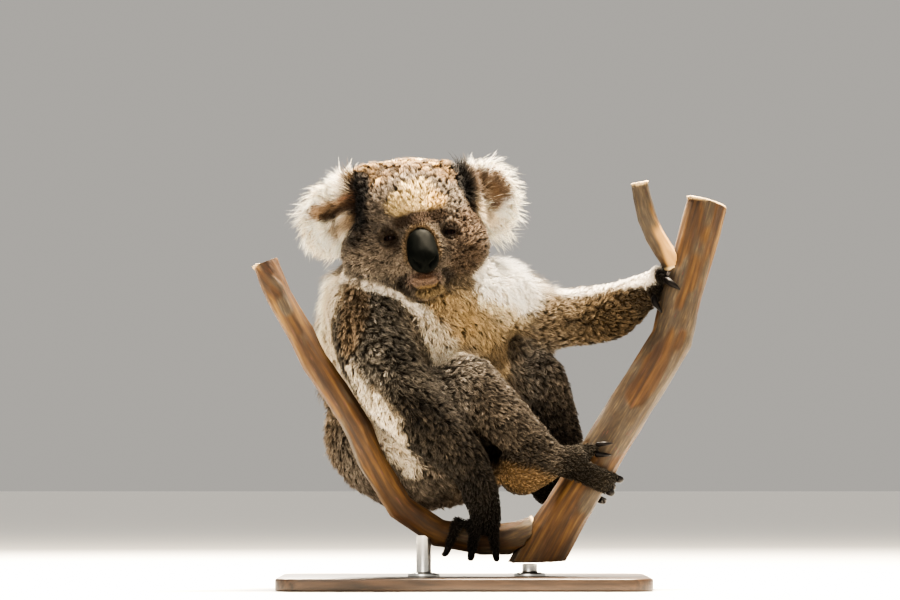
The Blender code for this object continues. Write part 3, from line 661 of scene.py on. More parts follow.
# A fold of loose skin closes the left armpit, where the arm, the chest and the thigh meet.
ARMPIT = ((0.025, 0.038, 0.262), (0.016, 0.022, 0.014))
for place, (middle, radii) in ((head_place, LIPS[0]), (head_place, LIPS[1]), (Matrix(), ARMPIT)):
    bm = bmesh.new()
    bmesh.ops.create_uvsphere(bm, u_segments=32, v_segments=20, radius=1.0)
    bm.transform(place @ Matrix.LocRotScale(Vector(middle), None, Vector(radii)))
    leaves.append(mesh_of("fold", bm))
skin = remeshed("skin", [outline, *leaves], 0.0025, 2)
largest_shell(skin)

# Face -----------------------------------------------------------------------------------------------
# Soft lips and a small chin below the nose, with a deep mouth line, and thick lids that half cover each
# eye, with a fold over the upper one. All of this is part of the same skin.

MOUTH_WIDTH = 0.018  # from the middle to each corner
MOUTH_BOTTOM = -0.0765  # where its line is lowest, below the middle of the head
MOUTH_CURVE = 0.0065  # how much higher the corners are
MOUTH_DEEP = 0.0017
CLEFT_DEEP = 0.0007  # the upright line from the mouth up to the nose
CORNER_DEEP = 0.0040
CORNER_SIDE = 0.0195  # from the middle to the hollow at each corner
CORNER_HEIGHT = -0.0665
MOUTH_ZONE = ((0.0, -0.055, -0.068), (0.030, 0.030, 0.020))  # the middle and half widths of an egg round it
FACE_CUTS = 3  # how many times each edge of the skin is cut there


def mouth_line(x):
    return MOUTH_BOTTOM + MOUTH_CURVE * (x / MOUTH_WIDTH) ** 2


def from_middle(points, middle, radii):
    """How far points seen from the head are from an egg's middle, as a share of its radius that way."""
    return np.linalg.norm((points - middle) / radii, axis=1)


bm = bmesh.new()
bm.from_mesh(skin)
near_mouth = from_middle(in_head(read_points(skin)), *MOUTH_ZONE) < 1.0
bm.verts.ensure_lookup_table()
fine_edges = [e for e in bm.edges if near_mouth[e.verts[0].index] and near_mouth[e.verts[1].index]]
bmesh.ops.subdivide_edges(bm, edges=fine_edges, cuts=FACE_CUTS, use_grid_fill=True)
bmesh.ops.triangulate(bm, faces=[f for f in bm.faces if len(f.verts) > 4])
bm.to_mesh(skin)
bm.free()
skin.update()
points = read_points(skin)
near_mouth = smooth_step(from_middle(in_head(points), *MOUTH_ZONE), 1.0, 0.8)
points += near_mouth[:, None] * (averaged(points, edges_of(skin), 14) - points)
write_points(skin, points)
x, y, z = in_head(points).T
in_front = smooth_step(y, -0.026, -0.036)
across = smooth_step(np.abs(x), MOUTH_WIDTH + 0.002, MOUTH_WIDTH - 0.003)
groove = MOUTH_DEEP * np.exp(-(((z - mouth_line(x)) / 0.0013) ** 2)) * across
cleft = CLEFT_DEEP * np.exp(-((x / 0.0010) ** 2)) * smooth_step(z, MOUTH_BOTTOM, MOUTH_BOTTOM + 0.002)
groove += cleft * (z < -0.060)
for side in (-1, 1):
    corner = np.hypot((x - side * CORNER_SIDE) / 0.0045, (z - CORNER_HEIGHT) / 0.0060)
    groove += CORNER_DEEP * np.exp(-(corner**2))
write_points(skin, points - read_points(skin, "normal") * (groove * in_front)[:, None])

# Each eye has a frame of its own, seen from the head: its middle, the line that it looks along, the way up
# across that line, and the way out from the nose.
GAZE = np.array([0.42, -0.90, 0.05])  # the left eye's line
EYE_SINK = 0.0020  # how far each eyeball is set back from the socket's front
hide_surface = surface_of(skin)
turn_to_world = head_matrix[:3, :3]
eye_frames = {}
for side, name in ((-1, "right"), (1, "left")):
    gaze = unit(GAZE * [side, 1, 1])
    above = unit(np.array([0.0, 0.0, 1.0]) - gaze * gaze[2])
    beside = np.cross(above, gaze) * -side
    middle = EYES[0 if side < 0 else 1] - gaze * EYE_SINK
    eye_frames[name] = (middle, gaze, above, beside)

LID_THICK = 0.0012
LID_FLATTER = 0.80  # how much less a lid curves than the eyeball under it
SOCKET_INNER = 0.008  # out to here, from the line of sight, the socket is deep
SOCKET_OUTER = 0.0105
SOCKET_DEEP = 0.004  # behind the middle of the eye
SOCKET_STEP = 0.0030  # and further out, so far behind the outside of the lids


def lid_height(q):
    """How far the outside of a lid stands before the middle of the eye, at a distance from its axis."""
    return np.sqrt(np.maximum((EYE_RADIUS + LID_THICK) ** 2 - (LID_FLATTER * q) ** 2, 0.0))


# The skin under the lids drops into the socket, behind the eyeball.
points = read_points(skin)
for middle, gaze, above, beside in eye_frames.values():
    offset = in_head(points) - middle
    height = offset @ gaze
    q = np.linalg.norm(offset - height[:, None] * gaze, axis=1)
    floor_height = np.where(q < SOCKET_INNER, -SOCKET_DEEP, lid_height(q) - SOCKET_STEP)
    sunk = (q < SOCKET_OUTER) & (height > floor_height) & (height > -0.002)
    drop = np.where(sunk, floor_height - height, 0.0)
    points = points + (drop[:, None] * gaze) @ turn_to_world.T
write_points(skin, points)

# The lids are a disc of skin with an almond-shaped opening. Its inner edge turns in to the eyeball, and out
# from there it leaves the ball for the hide that is already there, a little under it at the rim.
LID_STEPS = 18
LID_SPOKES = 56
LID_REACH = 0.0130
LID_TUCK = 0.0004  # how far its inner edge reaches into the eyeball
OPEN_WIDE = 0.0056  # half the width of the opening between the lids
OPEN_UP = 0.0017
OPEN_DOWN = 0.0027
OPEN_SLANT = 0.0004  # how much lower the opening is at its outer end
FAR_BEFORE = 0.05  # where a line starts that finds the hide
UPPER_FOLD = (0.0072, 0.0006)  # how far from the line of sight, and how deep
LOWER_FOLD = (0.0078, 0.0003)
FOLD_WIDTH = 0.0007
bm = bmesh.new()
bm.from_mesh(skin)
for middle, gaze, above, beside in eye_frames.values():
    rows = []
    for step in range(-1, LID_STEPS + 1):
        row = []
        for spoke in range(LID_SPOKES):
            angle = 2 * math.pi * spoke / LID_SPOKES
            c, s = math.cos(angle), math.sin(angle)
            almond = abs(s) ** 1.25
            edge = np.array([OPEN_WIDE * c, (OPEN_UP if s > 0 else -OPEN_DOWN) * almond - OPEN_SLANT * c])
            rim = np.array([LID_REACH * c, LID_REACH * s])
            share = max(step, 0) / LID_STEPS
            place = edge + (rim - edge) * share**1.2
            q = float(np.hypot(*place))
            if step < 0:
                height = math.sqrt(max((EYE_RADIUS - LID_TUCK) ** 2 - q * q, 0.0))
            else:
                start = middle + gaze * FAR_BEFORE + beside * place[0] + above * place[1]
                inwards = Vector(-(turn_to_world @ gaze))
                hit = hide_surface.ray_cast(Vector(from_head(start[None])[0]), inwards, 0.09)[3]
                outside = (FAR_BEFORE - hit) if hit is not None else 0.0
                blend = float(smooth_step(q, 0.0046, 0.0100))
                settle = 0.0006 - 0.0013 * float(smooth_step(q, 0.0106, 0.0129))
                fold_at, fold_deep = UPPER_FOLD if s > 0 else LOWER_FOLD
                fold = fold_deep * math.exp(-(((q - fold_at) / FOLD_WIDTH) ** 2)) * min(1.0, 1.6 * abs(s))
                edge_round = 0.0006 * math.exp(-step / 1.2)
                height = float(lid_height(q)) * (1 - blend) + (outside + settle) * blend - fold - edge_round
            at = middle + beside * place[0] + above * place[1] + gaze * height
            row.append(bm.verts.new(from_head(at[None])[0]))
        rows.append(row)
    for inner_row, outer_row in zip(rows, rows[1:]):
        for k in range(LID_SPOKES):
            after = (k + 1) % LID_SPOKES
            face = bm.faces.new((inner_row[k], inner_row[after], outer_row[after], outer_row[k]))
            face.normal_update()
            if face.normal.dot(Vector(turn_to_world @ gaze)) < 0:
                face.normal_flip()
bm.to_mesh(skin)
bm.free()
skin.shade_smooth()

# Eyes -----------------------------------------------------------------------------------------------
# Wet glass-smooth eyeballs, a very dark red brown, with a blacker upright pupil that hardly shows. Each is
# a whole ball of its own, and sits in its socket behind the lids.

eye_gloss, tree, shader = new_material("wet_eye", {
    "Roughness": 0.22, "IOR": 1.38, "Specular IOR Level": 0.12, "Coat Weight": 0.05, "Coat Roughness": 0.04,
})
# Dark red brown round a black slit, under a clear wet film that gives one small highlight.
shades = add(tree, "ShaderNodeAttribute", {"attribute_name": "iris"}).outputs["Color"]
tree.links.new(shades, shader.inputs["Base Color"])
IRIS_RADIUS = 0.0052
PUPIL_WIDE = 0.0009
PUPIL_TALL = 0.0026
for name, (middle, gaze, above, beside) in eye_frames.items():
    bm = bmesh.new()
    bmesh.ops.create_uvsphere(bm, u_segments=64, v_segments=48, radius=EYE_RADIUS)
    bm.transform(Matrix.Translation(Vector(from_head(middle[None])[0])))
    ball = new_piece("eyeball_" + name, bm, eye_gloss)
    local = in_head(read_points(ball.data)) - middle
    wide, tall = local @ beside, local @ above
    iris = smooth_step(np.hypot(wide, tall), IRIS_RADIUS, IRIS_RADIUS - 0.0006) * (local @ gaze > 0)
    pupil = smooth_step(np.hypot(wide / PUPIL_WIDE, tall / PUPIL_TALL), 1.15, 0.85) * (local @ gaze > 0)
    white, brown, black = (np.array(linear(code)) for code in ("#1B1210", "#140906", "#030202"))
    shades = white + iris[:, None] * (brown - white)
    shades = shades + pupil[:, None] * (black - shades)
    write_field(ball.data, "iris", np.column_stack([shades, np.ones(len(shades))]))
    fit(ball, "eye_gloss", "eye_" + name)

# Nose -----------------------------------------------------------------------------------------------
# A tall bare pad of pebbled black leather, narrower at the top, with a comma-shaped nostril low on each
# side and a faint groove down the middle below them.

NOSE_SIDE = -1.5  # how far its middle is from the head's, in millimetres
NOSE_FRONT = -66  # only what lies before this is dented
# A nostril's line, and half its width along it: x, z, half width, in millimetres.
NOSTRIL = ((6.0, -61.5, 2.1), (8.3, -58.6, 1.9), (11.0, -56.2, 1.3), (12.4, -52.7, 0.8))
NOSTRIL_DEEP = 0.0018  # for each millimetre of half width
PHILTRUM_DEEP = 0.0005
nose_leather, tree, shader = new_material("pebbled_nose_leather", {"IOR": 1.45, "Specular IOR Level": 0.07})
# Blue black, with grains about 0.8 mm across, and just moist enough for a broad grey sheen.
where = add(tree, "ShaderNodeTexCoord").outputs["Object"]
grains = add(tree, "ShaderNodeTexVoronoi", {"Scale": 1250.0}, {"Vector": where}).outputs["Distance"]
cloudy = add(tree, "ShaderNodeTexNoise", {"Scale": 90.0, "Detail": 3.0}, {"Vector": where}).outputs["Fac"]
tone = add(tree, "ShaderNodeValToRGB", {"stops": ((0.3, "#040605"), (0.7, "#080B09"))}, {"Fac": cloudy})
tree.links.new(tone.outputs[0], shader.inputs["Base Color"])
moist = add(tree, "ShaderNodeMapRange", {"To Min": 0.56, "To Max": 0.70}, {"Value": cloudy})
tree.links.new(moist.outputs[0], shader.inputs["Roughness"])
pebbles = add(tree, "ShaderNodeBump", {"Strength": 0.35, "Distance": 0.0003}, {"Height": grains})
tree.links.new(pebbles.outputs[0], shader.inputs["Normal"])
bm = bmesh.new()
bm.from_mesh(nodes["nose"].data)
hull = bmesh.ops.convex_hull(bm, input=bm.verts)
inside = [v for v in hull["geom_interior"] if isinstance(v, bmesh.types.BMVert)]
bmesh.ops.delete(bm, geom=inside, context="VERTS")
nose = remeshed("nose_pad", [mesh_of("egg", bm)], 0.0008, 40)
points = read_points(nose)
x, y, z = (in_head(points) * 1000 - [NOSE_SIDE, 0.0, 0.0]).T
dent = np.zeros(len(points))
for (x0, z0, w0), (x1, z1, w1) in zip(NOSTRIL, NOSTRIL[1:]):
    dx, dz = x1 - x0, z1 - z0
    t = np.clip(((np.abs(x) - x0) * dx + (z - z0) * dz) / (dx**2 + dz**2), 0, 1)
    width = w0 + t * (w1 - w0)
    away = np.hypot(np.abs(x) - x0 - t * dx, z - z0 - t * dz) / width
    dent = np.maximum(dent, np.exp(-(away**2)) * NOSTRIL_DEEP * width)
dent = dent + PHILTRUM_DEEP * np.exp(-((x / 0.8) ** 2)) * smooth_step(z, -44.0, -52.0)
write_points(nose, points - read_points(nose, "normal") * (dent * (y < NOSE_FRONT))[:, None])
fit(show(nose, nose_leather), "nose_leather", "nose")

# Coat -----------------------------------------------------------------------------------------------
# Dense soft wool, built as thin tapered tufts that gather in locks. It lies from the nose back over the
# head, down the trunk and out along the limbs. The ears carry a long loose white fringe.

# Which part the coat lies towards, on each part of a limb.
TOWARDS = {"upper_arm": "forearm", "forearm": "hand", "thigh": "shank", "shank": "foot"}
skin_points = read_points(skin)
skin_normals = read_points(skin, "normal")
skin_local = in_head(skin_points)
skin_weights = part_weights(skin_points, BODY)
part_middles = {part: read_points(nodes[part].data).mean(axis=0) for part in BODY}


def ear_places(points, side):
    """Points as seen from the middle of an ear's leaf, as shares of its width and height, and the depth."""
    inverse = np.array(ear_frames[side].inverted())
    seen = points @ inverse[:3, :3].T + inverse[:3, 3]
    across, up = seen[:, 0] / EARS[side][1][0], seen[:, 2] / EARS[side][1][1]
    return across, up, seen[:, 1] + EAR_CUP * (across**2 + up**2)


EAR_REACH = 0.013  # how far from the leaf the skin still counts as the ear's
EAR_START = 0.048  # from the middle of the head
ear_share = np.zeros(len(skin_points))
ear_side = np.zeros(len(skin_points), int)
ear_rim = np.zeros(len(skin_points))  # 0 in the middle of the leaf and 1 at its rim
ear_front = np.zeros(len(skin_points))
for side in (-1, 1):
    across, up, off = ear_places(skin_points, side)
    rim = np.hypot(across, up)
    inside = smooth_step(rim, 1.25, 1.12) * smooth_step(np.abs(off), EAR_REACH, EAR_REACH - 0.005)
    inside = inside * (side * skin_local[:, 0] > EAR_START)
    inside = inside * smooth_step(side * across + 0.6 * np.maximum(up, 0.0), -0.80, -0.50)
    taken = inside > ear_share
    ear_share = np.where(taken, inside, ear_share)
    ear_side = np.where(inside > 0.5, side, ear_side)
    ear_rim = np.where(taken, rim, ear_rim)
    facing = skin_normals @ (head_matrix[:3, :3] @ np.array([0.0, -1.0, 0.0]))
    ear_front = np.where(taken, smooth_step(facing, -0.2, 0.3), ear_front)

# The lie of the coat at each point of the skin.
SWIRL = 0.7  # how much it wanders
outwards = np.sign(skin_points[:, 0] - part_middles["chest"][0]) * 0.28
lie = np.zeros((len(skin_points), 3))
for column, part in enumerate(BODY):
    kind = kind_of(part)
    if kind in TOWARDS:
        goal = part_middles[part.replace(kind, TOWARDS[kind])] - part_middles[part]
        direction = unit(goal)[None, :]
    elif kind in ("hand", "foot"):
        tips = [read_points(nodes[n].data).mean(axis=0) for n in nodes if n.startswith("claw_" + part)]
        direction = unit(np.mean(tips, axis=0) - part_middles[part])[None, :]
    elif kind == "head":
        spread = unit(skin_local - np.array([0.0, -0.085, -0.042]))
        back = smooth_step(skin_local[:, 1], 0.0, 0.055)[:, None]
        spread = unit(spread * (1 - back) + np.array([0.0, 0.25, -1.0]) * back)
        direction = spread @ head_matrix[:3, :3].T
    else:
        direction = np.column_stack([outwards, np.full(len(outwards), 0.1), np.full(len(outwards), -1.0)])
    lie += skin_weights[:, column : column + 1] * direction
ear_roots = np.array([0.050, 0.018, 0.016])
sided = np.where(ear_side == 0, 1, ear_side)[:, None] ** np.array([1, 0, 0])
from_root = unit(unit((skin_local - ear_roots * sided) * np.array([1, 0.2, 1])) + np.array([0, 0, -0.25]))
lie = lie * (1 - ear_share[:, None]) + (from_root @ head_matrix[:3, :3].T) * ear_share[:, None]
swirl = np.stack([noise(skin_points, 0.028, 60 + k) for k in range(3)], axis=1) - 0.5
lie = lie + SWIRL * swirl
# Round the eyes it lies away from the opening, so that the lids stay clear.
lid_edge = np.full(len(skin_points), 9.0)  # 1 at the opening's edge
lid_shadow = lid_edge.copy()  # the same for the painted shade round it, which is rounder
lid_share = np.zeros(len(skin_points))
for middle, gaze, above, beside in eye_frames.values():
    offset = skin_local - middle
    wide, tall = offset @ beside, offset @ above
    before = offset @ gaze > -0.002
    share = smooth_step(np.hypot(wide, tall), 0.0140, 0.0085) * before
    away = (wide[:, None] * beside + tall[:, None] * above) @ turn_to_world.T
    lie = lie * (1 - share[:, None]) + unit(away) * share[:, None]
    edge = np.hypot(wide / (OPEN_WIDE + 0.0006), (tall + 0.0004) / (OPEN_DOWN + 0.0002))
    lid_edge = np.where(before, np.minimum(lid_edge, edge), lid_edge)
    shadow = np.hypot(wide / 0.0058, (tall - 0.0004) / 0.0042)
    lid_shadow = np.where(before, np.minimum(lid_shadow, shadow), lid_shadow)
    lid_share = np.maximum(lid_share, share)
lie = unit(lie - skin_normals * np.sum(lie * skin_normals, axis=1, keepdims=True))

# How long, dense, and locked the coat is on each part: length of a tuft, tufts on a square millimetre,
# its width, and the size of a lock, in millimetres.
COAT = {
    "head": (10.5, 1.00, 0.80, 3.0), "neck": (16.0, 0.60, 1.0, 4.0),
    "chest": (17.0, 0.50, 1.1, 4.2), "rump": (16.0, 0.40, 1.3, 4.6),
    "upper_arm": (12.0, 0.70, 0.92, 4.2), "forearm": (10.0, 0.72, 0.92, 3.8), "hand": (4.5, 0.36, 1.0, 2.4),
    "thigh": (11.5, 0.60, 1.0, 4.0), "shank": (9.5, 0.70, 0.94, 3.6), "foot": (4.5, 0.38, 1.0, 2.4),
}
coat_numbers = skin_weights @ np.array([COAT[kind_of(part)] for part in BODY])
skin_depth = averaged(coat_depth(skin_points, BODY, skin_weights), edges_of(skin), 3)
face_share = smooth_step(np.linalg.norm(skin_local - FACE_MIDDLE, axis=1), 0.072, 0.020)
tuft_length = coat_numbers[:, 0] * (1 - 0.66 * face_share) * (1 + 0.25 * lid_share) / 1000
tuft_density = coat_numbers[:, 1] * (1 + 1.0 * face_share) * 1e6
tuft_width = coat_numbers[:, 2] * (1 - 0.30 * face_share) / 1000
lock_size = coat_numbers[:, 3] * (1 - 0.35 * face_share) / 1000

# Markings: the colour of the tips on each part, and then patches over them. A patch is a colour, how
# strong it is, a chain of balls (x, y, z, radius) in millimetres, and the parts that it keeps to.
COAT_COLOUR = {
    "head": "#665D53", "neck": "#6E6251", "chest": "#6B6052", "rump": "#675C4F", "upper_arm": "#706B63",
    "forearm": "#3B3630", "hand": "#262320", "thigh": "#908A82", "shank": "#585149", "foot": "#35312B",
}
TRUNK = ("neck", "chest", "rump")
LEFT_ARM = ("upper_arm_left", "forearm_left")
HEAD_PATCHES = (  # seen from the middle of the head
    # Crown, warm tan; a soft cream patch low on the forehead with brown below it.
    ("#725B3C", 0.94, ((-34, -10, 62, 32), (34, -10, 62, 32)), ("head",)),
    ("#5E4A30", 0.85, ((-34, -34, 42, 16), (30, -36, 42, 17)), ("head",)),
    ("#C0AA80", 0.95, ((-19, -60, 7, 11), (4, -63, 9, 11)), ("head",)),
    ("#C0AA80", 0.80, ((-6, -57, 22, 9), (8, -57, 22, 9)), ("head",)),
    ("#BE9E6C", 0.70, ((16, -60, 10, 9), (22, -59, 8, 7)), ("head",)),
    ("#3A2A1C", 0.80, ((-20, -62, -10, 6), (0, -72, -9, 8), (22, -60, -6, 7)), ("head",)),
    # Black at the root of each ear, going over to dark brown down the side of the cheek.
    ("#2B231B", 0.90, ((-50, -34, 26, 13), (-56, -34, 2, 13), (-62, -38, -20, 10)), ("head",)),
    ("#0C0A09", 0.98,
     ((-50, -18, 50, 8), (-50, -24, 38, 12), (-54, -28, 18, 12), (-57, -34, 0, 9)), None),
    ("#3A3024", 0.90, ((52, -30, 26, 12), (58, -22, 6, 12), (64, -28, -12, 9)), ("head",)),
    ("#0C0A09", 0.98, ((56, -6, 56, 10), (53, -20, 42, 13), (53, -26, 30, 11), (57, -20, 16, 10)), None),
    # Pale rim round the nose, darker beside it, and painted shade in the hollows by the lips.
    ("#3A2E23", 0.75, ((-30, -52, -22, 9), (-24, -60, -36, 8)), ("head",)),
    ("#3A2E23", 0.75, ((30, -52, -22, 9), (24, -60, -36, 8)), ("head",)),
    # Painted shade darkening its left cheek.
    ("#4A3828", 0.65, ((52, -40, -18, 22), (44, -44, -48, 22)), ("head",)),
    # Painted shade in the hollows at the corners of the mouth.
    ("#1B1410", 0.85, ((-21, -48, -66, 6), (-23, -36, -70, 8), (-20, -44, -78, 6)), ("head", "neck")),
    ("#1B1410", 0.85, ((20, -55, -60, 4), (24, -44, -65, 6), (27, -30, -67, 8)), ("head", "neck")),
    ("#70625A", 1.00, ((-9, -60, -72, 10), (9, -60, -72, 10)), ("head",)),
    ("#3D2C23", 0.92, ((-6, -64, -66, 5.5), (5, -64, -66, 5.5)), ("head",)),
    ("#7A6A4F", 0.90, ((-3, -50, -83, 7), (14, -44, -84, 11), (18, -36, -94, 11)),
     ("head", "neck", "chest")),
)
# The same for the long hairs in front of the ears, by their place in the width and height of the head only.
EAR_PATCHES = (
    ("#FFF1DB", 0.95, ((-98, 0, 46, 24), (-98, 0, -10, 28))),
    ("#FFF1DB", 0.95, ((98, 0, 46, 26), (98, 0, -4, 28))),
    ("#8A6F55", 0.90, ((-62, 0, 33, 6), (-82, 0, 27, 8), (-104, 0, 23, 8))),
    # Painted shade in a fold of the right ear's pocket, under its brown band.
    ("#3D2C20", 0.90, ((-58, 0, 30, 7), (-80, 0, 21, 5), (-96, 0, 16, 4))),
    ("#9C866C", 0.75, ((-70, 0, 6, 9), (-84, 0, 0, 8))),
    ("#0C0A09", 0.95, ((-52, 0, 52, 6), (-55, 0, 36, 7), (-58, 0, 16, 7))),
    ("#3A2A1F", 0.60, ((-60, 0, 44, 6), (-64, 0, 26, 6), (-64, 0, 4, 7))),
    ("#A0705E", 0.60, ((-69, 0, 35, 2.0), (-77, 0, 31, 1.5))),
    ("#665242", 0.92, ((80, 0, 47, 8), (99, 0, 41, 9), (103, 0, 24, 10), (92, 0, 13, 7))),
    ("#7C644C", 0.80, ((78, 0, 34, 9), (92, 0, 26, 9))),
    ("#CDB99C", 0.60, ((78, 0, 10, 8), (88, 0, -4, 10))),
    ("#2E2118", 0.80, ((70, 0, 50, 9), (74, 0, 36, 11), (70, 0, 18, 9), (64, 0, 6, 7))),
    ("#0C0A09", 0.95, ((54, 0, 52, 7), (62, 0, 38, 10), (63, 0, 22, 8))),
)
BODY_PATCHES = (  # seen from below the middle of the model
    # Pale bib, white on the left shoulder, stained at the throat; a white collar over the right one.
    ("#B5A284", 0.95,
     ((-50, -45, 300, 26), (-10, -25, 300, 38), (0, -18, 262, 34), (-36, -50, 256, 18)), TRUNK),
    ("#A08C6B", 0.85,
     ((-26, -36, 296, 14), (-12, -28, 278, 16), (4, -8, 272, 18), (30, 14, 286, 16)), TRUNK),
    # Painted shade low on the middle of the chest.
    ("#6B5D4A", 0.80, ((-4, -18, 254, 15), (12, 0, 268, 12)), None),
    ("#E6D7BA", 0.90, ((-2, -25, 316, 15), (14, -16, 306, 15), (34, 4, 304, 13)), TRUNK),
    ("#FFFAEE", 1.00,
     ((-6, -26, 340, 18), (10, -14, 330, 18), (24, -4, 330, 22), (42, 14, 322, 18)), None),
    ("#FFFAEE", 0.95, ((0, 8, 352, 19), (26, 12, 344, 19)), None),
    ("#A98F66", 0.50, ((-62, -41, 314, 14), (-40, -38, 306, 18), (-36, -46, 284, 14)), TRUNK),
    ("#F1E6D4", 0.95,
     ((-158, -30, 336, 7), (-131, -60, 328, 6), (-104, -59, 320, 6), (-77, -52, 302, 9)), None),
    ("#D6CAB6", 0.90, ((-72, -52, 290, 11), (-58, -53, 268, 15), (-50, -53, 246, 14)), None),
    # Warm brown shoulder, cream where it turns to the back, and a pale strip down behind the right arm.
    ("#84725D", 0.75, ((-149, -56, 322, 14), (-147, -68, 298, 16), (-150, -76, 266, 14)), None),
    ("#EFDFC6", 0.95,
     ((-168, -22, 334, 20), (-170, -22, 311, 30), (-172, -14, 280, 25), (-174, 0, 253, 18)), None),
    ("#EADDC8", 1.00,
     ((-155, -28, 240, 14), (-146, -34, 217, 14), (-136, -36, 202, 14), (-125, -39, 184, 14),
      (-114, -45, 167, 12), (-102, -49, 150, 11), (-88, -43, 135, 9)), None),
    ("#DCCFB9", 0.92,
     ((-146, -82, 238, 9), (-137, -96, 216, 11), (-122, -109, 201, 14), (-111, -114, 183, 14),
      (-99, -108, 167, 11)), None),
    # The left arm is white on top and tan below.
    ("#7A6A54", 0.80, ((60, 45, 300, 40), (160, 10, 300, 40)), LEFT_ARM),
    ("#F6F0E4", 1.00,
     ((60, 54, 330, 18), (100, 52, 326, 11), (124, 45, 329, 10), (142, 31, 333, 9), (170, 4, 340, 13)),
     LEFT_ARM + ("hand_left",)),
    # Painted shade in the hollow behind the knee, buff under the heel, and pale mottles low on the back.
    ("#1B1712", 0.80, ((-24, -41, 168, 12), (-2, -22, 156, 12)), None),
    ("#857054", 0.82, ((10, -64, 126, 13), (36, -70, 116, 17), (60, -60, 110, 13)), None),
    ("#C9BEAD", 0.60, ((-90, 100, 120, 34), (-30, 110, 100, 34)), TRUNK),
)


def chain_distance(points, chain):
    """How far points are from a chain of balls, as a share of its radius there."""
    nearest = np.full(len(points), 1e9)
    balls = np.array(chain, float) / 1000
    if len(balls) == 1:
        balls = np.concatenate([balls, balls])
    for a, b in zip(balls, balls[1:]):
        run = b[:3] - a[:3]
        t = np.clip((points - a[:3]) @ run / max(run @ run, 1e-12), 0.0, 1.0)
        away = np.linalg.norm(points - a[:3] - t[:, None] * run, axis=1)
        nearest = np.minimum(nearest, away / (a[3] + t * (b[3] - a[3])))
    return nearest


colour = skin_weights @ np.array([linear(COAT_COLOUR[kind_of(part)]) for part in BODY])
tousled = smooth_step(chain_distance(skin_local, ((-30, -18, 54, 34), (30, -18, 54, 34))), 1.15, 0.75)
mottle = 0.6 * noise(skin_points, 0.007, 90, 2) + 0.4 * noise(skin_points, 0.022, 95, 2)
colour = colour * np.exp(2.2 * (mottle - 0.5))[:, None]
# Ears: cream in front, grey behind.
ear_white, ear_grey = (np.array(linear(code)) for code in ("#FFF1DB", "#A89A86"))
behind = ear_grey + smooth_step(ear_rim, 0.70, 1.0)[:, None] * (ear_white - ear_grey)
ear_colour = behind + ear_front[:, None] * (ear_white - behind)
colour = colour + ear_share[:, None] * (ear_colour - colour)
ragged = 0.50 * (noise(skin_points, 0.011, 80, 3) - 0.5)
placed = [(skin_local, patch) for patch in HEAD_PATCHES] + [(skin_points, patch) for patch in BODY_PATCHES]
for places, (code, strength, chain, parts) in placed:
    amount = strength * smooth_step(chain_distance(places, chain) + ragged, 1.30, 0.75)
    if parts:
        amount = amount * skin_weights[:, [part in parts for part in BODY]].sum(axis=1) * (1 - ear_share)
    colour = colour + amount[:, None] * (np.array(linear(code)) - colour)
# Dark rims on the lids, painted shade in the socket round each eye, and a thin pale line round the nose.
LID_RIM, SOCKET_SHADE, NOSE_LINE = (np.array(linear(code)) for code in ("#160A08", "#23130E", "#8E7B63"))
LINE_STRENGTH = 0.8
SOCKET_SHADE_STRENGTH = 0.42
LIP_HEIGHT = -0.0730
nose_surface = surface_of(nose)
near_nose = face_share > 0
from_nose = np.full(len(skin_points), 1.0)
from_nose[near_nose] = [nose_surface.find_nearest(Vector(p))[3] for p in skin_points[near_nose]]
line = smooth_step(from_nose, 0.0042, 0.0024) * smooth_step(skin_local[:, 2], -0.058, -0.048)
line = line * LINE_STRENGTH
colour = colour + line[:, None] * (NOSE_LINE - colour)
# Painted shade in the socket round each eye.
colour = colour + SOCKET_SHADE_STRENGTH * smooth_step(lid_shadow, 1.80, 0.60)[:, None] * (SOCKET_SHADE - colour)
colour = colour + smooth_step(lid_edge, 1.15, 1.00)[:, None] * (LID_RIM - colour)
lips = np.hypot(skin_local[:, 0] / 0.0150, (skin_local[:, 2] - LIP_HEIGHT) / 0.0070)
lips = smooth_step(lips, 1.1, 0.85) * (skin_local[:, 1] < -0.040)
under = 0.42 + 0.50 * smooth_step(colour.mean(axis=1), 0.20, 0.70)  # painted shade under the coat: deep under dark hair, slight under pale hair
under = under + 0.5 * lips * (1 - under)
write_field(skin, "markings", np.column_stack([colour * under[:, None], np.ones(len(colour))]))

undercoat, tree, shader = new_material("dense_undercoat", {
    "Roughness": 0.85, "IOR": 1.4, "Specular IOR Level": 0.1,
})
# Matt and felted fine: the same markings, about half as bright under dark hair and nearly as pale as the
# hair itself where that is white, so that the gaps between the tufts read as shade and not as holes.
TINTED = {"data_type": "RGBA", "blend_type": "MULTIPLY", 0: 1.0}
marked = add(tree, "ShaderNodeAttribute", {"attribute_name": "markings"}).outputs["Color"]
where = add(tree, "ShaderNodeTexCoord").outputs["Object"]
felt = add(tree, "ShaderNodeTexNoise", {"Scale": 900.0, "Detail": 3.0}, {"Vector": where}).outputs["Fac"]
tone = add(tree, "ShaderNodeValToRGB", {"stops": ((0.3, "#BDB4AC"), (0.7, "#FBF6F0"))}, {"Fac": felt})
tone = add(tree, "ShaderNodeMix", TINTED, {6: marked, 7: tone.outputs[0]})
tree.links.new(tone.outputs[2], shader.inputs["Base Color"])
felted = add(tree, "ShaderNodeBump", {"Strength": 0.6, "Distance": 0.0006}, {"Height": felt})
tree.links.new(felted.outputs[0], shader.inputs["Normal"])
hide = show(skin, undercoat)
fit(hide, "grey_fur", *FLESH)

# An unwrap of the skin's own shape gives every tuft its place on the colour map.
bpy.context.view_layer.objects.active = hide
hide.select_set(True)
skin.uv_layers.new(name="OFBake")
bpy.ops.object.mode_set(mode="EDIT")
bpy.ops.mesh.select_all(action="SELECT")
bpy.ops.uv.smart_project(angle_limit=math.radians(66), island_margin=0.001)
bpy.ops.object.mode_set(mode="OBJECT")

